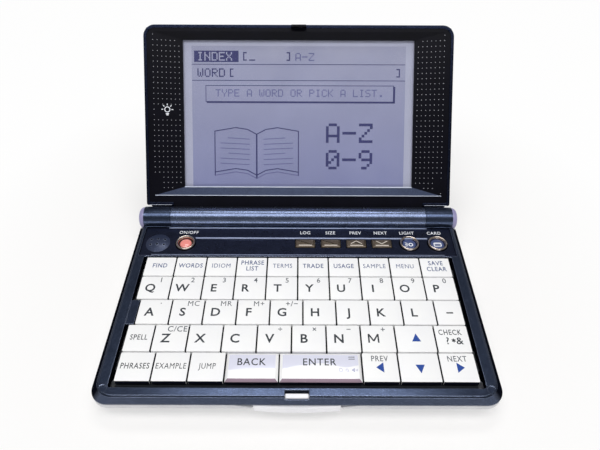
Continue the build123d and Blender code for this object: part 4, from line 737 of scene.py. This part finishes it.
# the five side keys stand left of Z, right of the up arrow and at the front left
row_low, row_high = span("dictionary_keys")
z_low, z_high = span("key_z")
up_low, up_high = span("arrow_up")
front_cell = (span("back_key")[0].x - row_low.x) / 3
side_cells = [
    (row_low.x, z_low.x - GAP, z_low.y, z_high.y, ["SPELL"]),
    (up_high.x + GAP, row_high.x, up_low.y, up_high.y, ["CHECK", "?∗&"]),
]
for place, label in enumerate(["PHRASES", "EXAMPLE", "JUMP"]):
    left = row_low.x + place * front_cell
    side_cells.append((left, left + front_cell - GAP, front_row, back_row, [label]))
shape = bmesh.new()
for left, right, near, far, labels in side_cells:
    low, high = Vector((left, near, row_low.z)), Vector((right, far, row_high.z))
    join(shape, keycap(low, high, front=near == front_row))
    weight = 0.0 if "M" in labels[0] else 0.025
    at = on_key(low, high, (0.5, 0.47) if len(labels) == 1 else (0.46, 0.25))
    words(shape, labels[0], WORD_SIZE, at, DARK, weight=weight, narrow=0.76)
    if len(labels) == 2:
        at = on_key(low, high, (0.52, 0.57))
        words(shape, "?", 4.2, at - Vector((2.2, 0, 0)), DARK, weight=0.04)
        words(shape, "&", 4.2, at + Vector((2.2, 0, 0)), DARK, weight=0.04)
        for angle in (0, 60, 120):
            arm = Matrix.Rotation(radians(angle), 3, "Z") @ Vector((0, 0.8, 0))
            dash(shape, at - arm, at + arm, 0.4, DARK)
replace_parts(finish(shape, "side_keys_caps", KEY_MATERIALS, "side_keys"), "side_keys")

# the two wide keys: a raised pearl table with sloping sides, a painted lavender reflection on its back
# half and a painted mauve reflection on the front slope
WIDE_MATERIALS = [PEARL_CAP_REFLECTION, KEY_SLOPE_REFLECTION, DARK_INK, FAINT_INK, WHITE_KEY, KEY_WALL_SHADE]
for node, label in [("back_key", "BACK"), ("enter_key", "ENTER")]:
    low, high = span(node)
    shape = bmesh.new()
    block(shape, low, high)
    table = max(shape.faces, key=lambda face: face.calc_center_median().z)
    bmesh.ops.inset_region(shape, faces=[table], thickness=WIDE_CHAMFER, use_even_offset=True)
    inner = set(table.verts)
    rim = [v for v in shape.verts if v.co.z > high.z - 0.01 and v not in inner]
    bmesh.ops.translate(shape, verts=rim, vec=(0, 0, -WIDE_DROP))
    shape.normal_update()
    # the slope facing the user takes the painted mauve reflection, the other slopes plain white
    for face in shape.faces:
        if 0.2 < face.normal.z < 0.95:
            face.material_index = 1 if face.normal.y < -0.3 else 4
    round_off(shape, table.edges[:], 0.12, 2)
    hollow(shape, high.z - low.z)
    shade_walls(shape, 5, front=True)
    words(shape, label, 3.9, on_key(low, high, (0.49, 0.33)), 2, weight=0.03, narrow=0.95)
    if node == "enter_key":
        sign = on_key(low, high, (0.885, 0.2))
        for shift in (-0.4, 0.4):
            begin, end = sign + Vector((-1.1, shift, 0)), sign + Vector((1.1, shift, 0))
            dash(shape, begin, end, 0.26, 2)
        # three faint marks: a page, a ring with a tail and a loudspeaker
        page, ring, horn = (on_key(low, high, (x, 0.62)) for x in (0.745, 0.82, 0.9))
        outline(shape, page, 1.3, 1.4, 0.4, 0.22, 3)
        outline(shape, ring, 1.1, 1.1, 0.54, 0.22, 3)
        dash(shape, ring + Vector((0.4, -0.4, 0)), ring + Vector((0.85, -0.85, 0)), 0.24, 3)
        triangle(shape, horn, 1.5, 1.5, 90, 3)
        for reach in (0.9, 1.35):
            begin, end = horn + Vector((reach, -0.45, 0)), horn + Vector((reach, 0.45, 0))
            dash(shape, begin, end, 0.2, 3)
    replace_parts(finish(shape, f"{node}_cap", WIDE_MATERIALS, node), node)

# -------------------------------- control strip
STRIP_MARKS = STRIP_TOP + 0.4 + PRINT_GAP


def middle_of(node):
    """The middle of a CAD node's box."""
    low, high = span(node)
    return (low + high) / 2


power = middle_of("power_button")
light = middle_of("backlight_button")
card = middle_of("card_button")
strip_low, strip_high = span("control_panel")

# raised ridges of the strip, painted pale as highlight lines: its front edge, the step behind the buttons
# and its back edge
shape = bmesh.new()
for begin, end, y, z, radius in [
    (strip_low.x + 5.2, strip_high.x - 5.2, strip_low.y + 0.55, 13.5, 0.52),
    (power.x + 4.0, card.x - 4.0, strip_low.y + 10.5, 13.62, 0.44),
    (-57.4, 57.4, strip_high.y - 0.35, 13.8, 0.26),
]:
    rod(shape, begin, end, y, z, radius, 20)
finish(shape, "strip_ridges", [RIDGE_HIGHLIGHT], "base")

# three turned rings, each a rounded collar that falls to a dark bevelled throat
RING_PROFILE = [(3.02, 12.8), (3.04, 13.4), (3.12, 13.8), (3.28, 14.16), (3.5, 14.42), (3.74, 14.5)]
RING_PROFILE += [(3.96, 14.4), (4.12, 14.16), (4.2, 13.8), (4.22, 13.5)]
shape = bmesh.new()
for centre in (power, light, card):
    join(shape, moved_to(turned(RING_PROFILE, 72), (centre.x, centre.y, 0)))
    # a flat black ring round each collar is painted shadow
    shadow_gap = turned([(3.9, 13.515), (4.5, 13.515)], 48)
    join(shape, moved_to(shadow_gap, (centre.x, centre.y, 0)), 1)
finished = finish(shape, "turned_button_rings", [CHROME, SHADE_BLACK], "base", sharp=50.0)
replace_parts(finished, "button_rings")

# the power button is a shallow dome, the other two are flat pads with a mark
DOME_PROFILE = [(0, 14.0), (0.7, 13.99), (1.3, 13.93), (1.8, 13.82), (2.2, 13.66), (2.45, 13.46)]
shape = turned(DOME_PROFILE + [(2.55, 13.2)])
join(shape, turned([(2.55, 13.2), (2.85, 13.16), (2.85, 12.7), (0, 12.7)]), 1)
bmesh.ops.remove_doubles(shape, verts=shape.verts, dist=1e-4)
moved_to(shape, (power.x, power.y, 0))
finished = finish(shape, "power_dome", [SALMON, DARK_BROWN], "power_button")
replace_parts(finished, "power_button")

for node, centre in [("backlight_button", light), ("card_button", card)]:
    shape = turned([(0, 13.6), (2.4, 13.6), (2.7, 13.54), (2.85, 13.4), (2.85, 12.7), (0, 12.7)])
    moved_to(shape, (centre.x, centre.y, 0))
    at = Vector((centre.x, centre.y - 0.45, 13.6 + 2 * PRINT_GAP))
    if node == "card_button":
        outline(shape, at, 3.4, 2.3, 0.6, 0.42, 1)
        dash(shape, at + Vector((-1.2, 0.45, 0)), at + Vector((1.2, 0.45, 0)), 0.34, 1)
    else:
        outline(shape, at + Vector((0.55, -0.1, 0)), 2.0, 2.0, 0.98, 0.42, 1)
        for ray in (-0.6, 0.0, 0.6):
            dash(shape, at + Vector((-1.9, ray * 1.7, 0)), at + Vector((-0.75, ray, 0)), 0.36, 1)
    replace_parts(finish(shape, f"{node}_pad", [SLATE, PALE_INK], node), node)

# four plated bars with a round front edge and a pale painted highlight line low on the front; two carry
# raised chevrons
low, high = span("function_buttons")
BAR_LENGTH = 8.6
BAR_CORNER = 0.5
BAR_EDGE = 0.85
pitch = (high.x - low.x - BAR_LENGTH) / 3
shape = bmesh.new()
for place in range(4):
    left = low.x + place * pitch
    bar = bmesh.new()
    block(bar, (left, low.y, low.z), (left + BAR_LENGTH, high.y, high.z))
    round_off(bar, upright_edges(bar), BAR_CORNER, 3)
    round_off(bar, upper_edges(bar, high.z), BAR_EDGE, 6)
    join(shape, bar)
    centre = Vector((left + BAR_LENGTH / 2, (low.y + high.y) / 2, high.z))
    # the flat strip near the front edge is a painted highlight line
    line, near = Vector((BAR_LENGTH / 2 - 1.5, 0, 0)), centre + Vector((0, -1.45, 0.02))
    marks = [(near - line, near + line, 0.5)]
    if place > 1:
        tip = 0.8 if place == 2 else -0.8
        peak = centre + Vector((0, tip + 0.3, 0.02))
        marks += [(peak, peak + Vector((side * 2.4, -2 * tip, 0)), 0.4) for side in (-1, 1)]
    for begin, end, width in marks:
        arm = bmesh.new()
        dash(arm, begin, end, width, 0)
        raised = bmesh.ops.extrude_face_region(arm, geom=arm.faces[:])
        lifted = [part for part in raised["geom"] if isinstance(part, bmesh.types.BMVert)]
        bmesh.ops.translate(arm, verts=lifted, vec=(0, 0, -0.2))
        bmesh.ops.recalc_face_normals(arm, faces=arm.faces)
        join(shape, arm, 1)
finished = finish(shape, "plated_bar_buttons", [BRONZE, CHEVRON_AND_HIGHLIGHT_BRONZE], "function_buttons")
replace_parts(finished, "function_buttons")

# words above the buttons
shape = bmesh.new()
first_bar = low.x + BAR_LENGTH / 2
for text, x in [
    ("ON/OFF", power.x + 0.6),
    ("LOG", first_bar),
    ("SIZE", first_bar + pitch),
    ("PREV", first_bar + 2 * pitch),
    ("NEXT", first_bar + 3 * pitch),
    ("LIGHT", light.x - 0.4),
    ("CARD", card.x - 0.6),
]:
    words(shape, text, 2.5, (x, light.y + 6.2, STRIP_MARKS), 0, weight=0.02, narrow=0.86)
finish(shape, "strip_words", [PALE_INK], "base")

# the speaker dome with its six holes, each a black disc of painted shade in a small rim painted pale as a
# highlight
grille_low, grille_high = span("speaker_grille")
grille = (grille_low + grille_high) / 2
DOME_RADIUS = 5.2
DOME_FOOT = 13.55
DOME_RISE = 1.05
DOME_STEPS = 12
shares = [step / DOME_STEPS for step in range(DOME_STEPS + 1)]
shape = turned([(DOME_RADIUS * share, DOME_FOOT + DOME_RISE * (1 - share**2)) for share in shares])
for column in (-2.9, 0.0, 2.9):
    for row in (-1.45, 1.45):
        off_middle = column**2 + row**2
        height = DOME_FOOT + PRINT_GAP + DOME_RISE * (1 - off_middle / DOME_RADIUS**2)
        lean = 2 * DOME_RISE / DOME_RADIUS**2 * sqrt(off_middle)
        tilt = Matrix.Rotation(lean, 4, Vector((-row, column, 0)))
        tilt = Matrix.Translation((column, row, height)) @ tilt
        for profile, slot in [([(0, 0.04), (0.5, 0.04)], 1), ([(0.5, 0.04), (0.56, 0.08), (0.62, 0)], 2)]:
            mouth = turned(profile, 16)
            bmesh.ops.transform(mouth, matrix=tilt, verts=mouth.verts)
            join(shape, mouth, slot)
moved_to(shape, (grille.x, grille.y, 0))
finished = finish(shape, "speaker_dome", [DOME_NAVY, SHADE_BLACK, RIDGE_HIGHLIGHT], "base", sharp=60.0)
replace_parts(finished, "speaker_grille")

# -------------------------------- lid: pips, mark and display
PIP_RADIUS = 0.18
PIP_COLUMN = 1.85
PIP_ROW = 2.33
RING_RADIUS = 4.2
SHUT_MARGIN = 0.4
SHUT_HEIGHT = 14.8


def shut_clear(x, s, n):
    """Whether a pip on the lid stays off the speaker dome and the rings when the lid is shut."""
    rings = [(centre, RING_RADIUS) for centre in (power, light, card)]
    for centre, radius in [(grille, DOME_RADIUS)] + rings:
        apart = sqrt((x - centre.x) ** 2 + (HINGE.y - s - centre.y) ** 2)
        if apart < radius + SHUT_MARGIN and HINGE.z - n - PIP_RADIUS < SHUT_HEIGHT:
            return False
    return True


shape = bmesh.new()
outer_x, outer_low, outer_high, outer_n = FUNNEL_OUTER
inner_x, inner_low, inner_high, inner_n = FUNNEL_INNER
for column in range(7):
    x = 53.4 + PIP_COLUMN * column
    share = (x - inner_x) / (outer_x - inner_x)
    near = inner_low + (outer_low - inner_low) * share + 0.9
    far = inner_high + (outer_high - inner_high) * share - 0.9
    n = inner_n + (outer_n - inner_n) * share
    for row in range(40):
        s = 11.4 + PIP_ROW * row
        for side in (-1, 1):
            marked = side < 0 and 44.5 < s < 51.0 and 54.5 < x < 63.0
            if near < s < far and not marked and shut_clear(side * x, s, n):
                pip = Matrix.Translation((side * x, s, n)) @ Matrix.Diagonal((1, 1, 0.7, 1))
                bmesh.ops.create_icosphere(shape, subdivisions=1, radius=PIP_RADIUS, matrix=pip)
finish(shape, "bezel_pips", [PIP_GLINT], "lid", LID_PLACE, sharp=80.0)

# the sloping face under the display is a satin slate sheet of painted reflection, between two lips
# painted pale as highlights, and the lid's foot has a painted highlight line over each knuckle
shape = bmesh.new()
low_edge, high_edge = Vector((0, outer_low, outer_n + 0.02)), Vector((0, inner_low, inner_n + 0.02))
slope = high_edge - low_edge
tilt = Matrix.Rotation(Vector((0, 1, 0)).angle(slope) * -1, 4, "X")
lay = Matrix.Translation((low_edge + high_edge) / 2) @ tilt @ Matrix.Diagonal((1, slope.length, 1, 1))
sheet = bmesh.ops.create_grid(shape, x_segments=1, y_segments=1, size=0.5, matrix=lay)["verts"]
for corner in sheet:
    half = outer_x if corner.co.y < (outer_low + inner_low) / 2 else inner_x
    corner.co.x = half if corner.co.x > 0 else -half
for begin, end, s, n, radius in [
    (-inner_x, inner_x, inner_low, inner_n + 0.1, 0.26),
    (-outer_x, outer_x, outer_low, outer_n, 0.16),
    (-67.4, -57.2, 6.0, -0.05, 0.1),
    (57.2, 67.4, 6.0, -0.05, 0.1),
]:
    rod(shape, begin, end, s, n, radius, 12, 1)
finish(shape, "display_lips", [SLATE_REFLECTION_FACE, LIP_HIGHLIGHT], "lid", LID_PLACE)

# a plain lamp mark stands where the left pips leave a gap
shape = bmesh.new()
tilt = Matrix.Translation((-58.8, 47.8, -1.22)) @ Matrix.Rotation(radians(9.8), 4, "Y")
outline(shape, (0, 0.9, 0.05), 2.6, 2.6, 1.29, 0.35, 0)
dash(shape, (-0.7, -0.9, 0.05), (0.7, -0.9, 0.05), 0.4, 0)
dash(shape, (-0.5, -1.5, 0.05), (0.5, -1.5, 0.05), 0.4, 0)
for angle in range(0, 181, 45):
    ray = Vector((cos(radians(angle)), sin(radians(angle)), 0))
    dash(shape, Vector((0, 0.9, 0.05)) + 1.8 * ray, Vector((0, 0.9, 0.05)) + 2.6 * ray, 0.35, 0)
bmesh.ops.transform(shape, matrix=tilt, verts=shape.verts)
finish(shape, "lamp_mark", [PALE_INK], "lid", LID_PLACE)

GLYPHS = {
    "A": "0E1111111F1111", "B": "1E11111E11111E", "C": "0E11101010110E", "D": "1E11111111111E",
    "E": "1F10101E10101F", "F": "1F10101E101010", "G": "0E11101711110F", "H": "1111111F111111",
    "I": "0E04040404040E", "K": "11121418141211", "L": "1010101010101F", "M": "111B1515111111",
    "N": "11111915131111", "O": "0E11111111110E", "P": "1E11111E101010", "R": "1E11111E141211",
    "S": "0F10100E01011E", "T": "1F040404040404", "U": "1111111111110E", "W": "1111111515150A",
    "X": "11110A040A1111", "Y": "1111110A040404", "Z": "1F01020408101F", "0": "0E11131519110E",
    "1": "040C040404040E", "2": "0E11010204081F", "3": "1F02040201110E", "9": "0E11110F01020C",
    "-": "0000001F000000", "[": "0E08080808080E", "]": "0E02020202020E", "_": "0000000000001F",
    ".": "00000000000606", " ": "00000000000000",
}  # fmt: skip


def dots(target, text, corner, dot, slot):
    """Draws characters of five by seven square dots from their upper left corner."""
    x, top, n = corner
    for character in text:
        rows = bytes.fromhex(GLYPHS[character])
        for row, bits in enumerate(rows):
            lit = [column for column in range(5) if bits >> (4 - column) & 1]
            while lit:
                begin = lit[0]
                end = begin
                while end in lit:
                    lit.remove(end)
                    end += 1
                y = top - (row + 0.5) * dot
                dash(target, (x + begin * dot, y, n), (x + end * dot, y, n), dot, slot)
        x += 6 * dot


shape = bmesh.new()
INK, GREY, GROUND = 0, 1, 2


def stroke(target, begin, end, width, slot):
    """Draws a straight line of the display."""
    dash(target, (*begin, DISPLAY_INK), (*end, DISPLAY_INK), width, slot)


# heading row with an inverse block and an entry bracket
stroke(shape, (-47.0, 72.6), (-27.0, 72.6), 5.0, INK)
dots(shape, "INDEX", (-45.6, 74.5, DISPLAY_BRIGHT_INK), 0.54, GROUND)
dots(shape, "[_", (-25.5, 74.5, DISPLAY_INK), 0.54, INK)
dots(shape, "]", (-6.0, 74.5, DISPLAY_INK), 0.54, INK)
dots(shape, "A-Z", (-1.5, 74.2, DISPLAY_INK), 0.5, GREY)
stroke(shape, (-48.0, 69.1), (48.0, 69.1), 0.3, INK)
dots(shape, "WORD", (-45.6, 67.3, DISPLAY_INK), 0.54, INK)
dots(shape, "[", (-31.5, 67.3, DISPLAY_INK), 0.54, INK)
dots(shape, "]", (43.5, 67.3, DISPLAY_INK), 0.54, INK)
stroke(shape, (-48.0, 62.0), (48.0, 62.0), 0.3, INK)
# message box with a shadow along its right and lower sides
outline(shape, (0.5, 56.2, DISPLAY_INK), 85.0, 7.4, 0.0, 0.3, INK)
stroke(shape, (-41.5, 52.3), (43.4, 52.3), 0.7, INK)
stroke(shape, (43.3, 52.0), (43.3, 59.4), 0.7, INK)
dots(shape, "TYPE A WORD OR PICK A LIST.", (-37.5, 58.1, DISPLAY_INK), 0.47, GREY)
# two large rows of characters on the right
dots(shape, "A-Z", (12.5, 43.0, DISPLAY_INK), 1.25, INK)
dots(shape, "0-9", (12.5, 31.0, DISPLAY_INK), 1.25, INK)
# an open book on the left
SPINE, PAGE, PAGE_HIGH = -19.0, 19.0, 41.0
for side in (-1, 1):
    edge = SPINE + side * PAGE
    tops = [(0, PAGE_HIGH - 3.0), (0.22, PAGE_HIGH - 0.8), (0.5, PAGE_HIGH), (1.0, PAGE_HIGH - 1.6)]
    for line, (drop, slot) in enumerate([(0.0, INK), (18.5, INK), (20.0, GREY)]):
        points = [(SPINE + side * PAGE * share, height - drop) for share, height in tops]
        for begin, end in zip(points, points[1:]):
            stroke(shape, begin, end, 0.45, slot)
    stroke(shape, (edge, PAGE_HIGH - 1.4), (edge, PAGE_HIGH - 21.8), 0.45, INK)
    for row in range(6):
        height = PAGE_HIGH - 4.6 - 2.3 * row
        begin = SPINE + side * 3.2
        end = SPINE + side * (16.5 if row % 3 else 13.0)
        stroke(shape, (begin, height - 0.6), (end, height), 0.4, GREY)
stroke(shape, (SPINE, PAGE_HIGH - 2.8), (SPINE, PAGE_HIGH - 23.2), 0.7, INK)
finish(shape, "display_dots", [DISPLAY_DARK, DISPLAY_GREY, FILM], "lid", LID_PLACE)

# -------------------------------- floor, light and camera
floor = bmesh.new()
bmesh.ops.create_grid(floor, x_segments=2, y_segments=2, size=4000)
floor_mesh = bpy.data.meshes.new("floor")
bmesh.ops.transform(floor, matrix=Matrix.Scale(MM, 4), verts=floor.verts)
floor.to_mesh(floor_mesh)
floor.free()
floor_piece = bpy.data.objects.new("floor", floor_mesh)
show(floor_piece)

# matt white card: it takes the shadow, and what is seen of it is lifted towards white, more so
# away from the object
card_stock, tree, place = start("matt_white_card")
ray = put(tree, "LightPath", {}).node.outputs
seen = put(tree, "Math", {0: ray["Is Camera Ray"], 1: ray["Is Glossy Ray"]}, operation="MAXIMUM")
seen = put(tree, "Math", {0: seen, 1: ray["Is Transmission Ray"]}, operation="MAXIMUM")
away = put(tree, "VectorMath", {0: place}, "Value", operation="LENGTH")
reach = {0: away, 1: 0.085, 2: 0.17, 3: FLOOR_LIFT[0], 4: FLOOR_LIFT[1]}
lifted = {
    0: put(tree, "Math", {0: seen, 1: put(tree, "MapRange", reach)}, operation="MULTIPLY"),
    1: put(tree, "BsdfDiffuse", {"Color": linear("#fbf9f7")}),
    2: put(tree, "Emission", {"Color": (1, 1, 1, 1), "Strength": 1.0}),
}
put(tree, "OutputMaterial", {"Surface": put(tree, "MixShader", lifted)})
floor_mesh.materials.append(card_stock)

world = bpy.data.worlds.new("studio")
world.use_nodes = True
world.node_tree.nodes["Background"].inputs["Color"].default_value = (1.0, 1.0, 1.0, 1.0)
world.node_tree.nodes["Background"].inputs["Strength"].default_value = WORLD_LEVEL
bpy.context.scene.world = world


def panel(name, width, depth, power_w, place, target):
    """A soft rectangular lamp that faces a point, all in millimetres."""
    lamp = bpy.data.lights.new(name, "AREA")
    lamp.shape = "RECTANGLE"
    lamp.size, lamp.size_y = width * MM, depth * MM
    lamp.energy = power_w
    holder = bpy.data.objects.new(name, lamp)
    holder.location = Vector(place) * MM
    aim = (Vector(target) - Vector(place)).to_track_quat("-Z", "Y")
    holder.rotation_euler = aim.to_euler()
    show(holder)


# a strip overhead lights the barrel, a narrow panel behind it lights the front band of the deck,
# a weak fill reaches the walls that face the user, and a low strip whitens the front of the tray
panel("overhead_strip", 900, 340, 4.2, (0, -170, 800), (0, -40, 10))
panel("rear_panel", 440, 160, 1.5, (0, 275, 800), (0, -60, 10))
panel("front_fill", 1000, 500, 0.38, (-120, -900, 230), (0, -40, 10))
panel("low_front_strip", 700, 60, 0.7, (0, -620, 40), (0, -70, 10))

view = bpy.context.scene.view_settings
view.view_transform = "Standard"

# the camera that the photograph's edges were fitted with
SENSOR = 36.0
IMAGE_WIDTH = 600
FOCAL_PIXELS = 523.133
CAMERA_AT = (0.784, -155.48, 179.873)
lens = bpy.data.cameras.new("photo_camera")
lens.sensor_fit = "HORIZONTAL"
lens.sensor_width = SENSOR
lens.lens = FOCAL_PIXELS / IMAGE_WIDTH * SENSOR
lens.clip_start = 0.01
camera = bpy.data.objects.new("photo_camera", lens)
DOWN, YAW, ROLL = radians(44.937), radians(0.025), radians(0.212)
ahead = Vector((sin(YAW) * cos(DOWN), cos(YAW) * cos(DOWN), -sin(DOWN)))
level = Vector((cos(YAW), -sin(YAW), 0))
upward = level.cross(ahead)
right = level * cos(ROLL) + upward * sin(ROLL)
upward = upward * cos(ROLL) - level * sin(ROLL)
turn = Matrix((right, upward, -ahead)).transposed().to_4x4()
camera.matrix_world = Matrix.Translation(Vector(CAMERA_AT) * MM) @ turn
show(camera)
bpy.context.scene.camera = camera
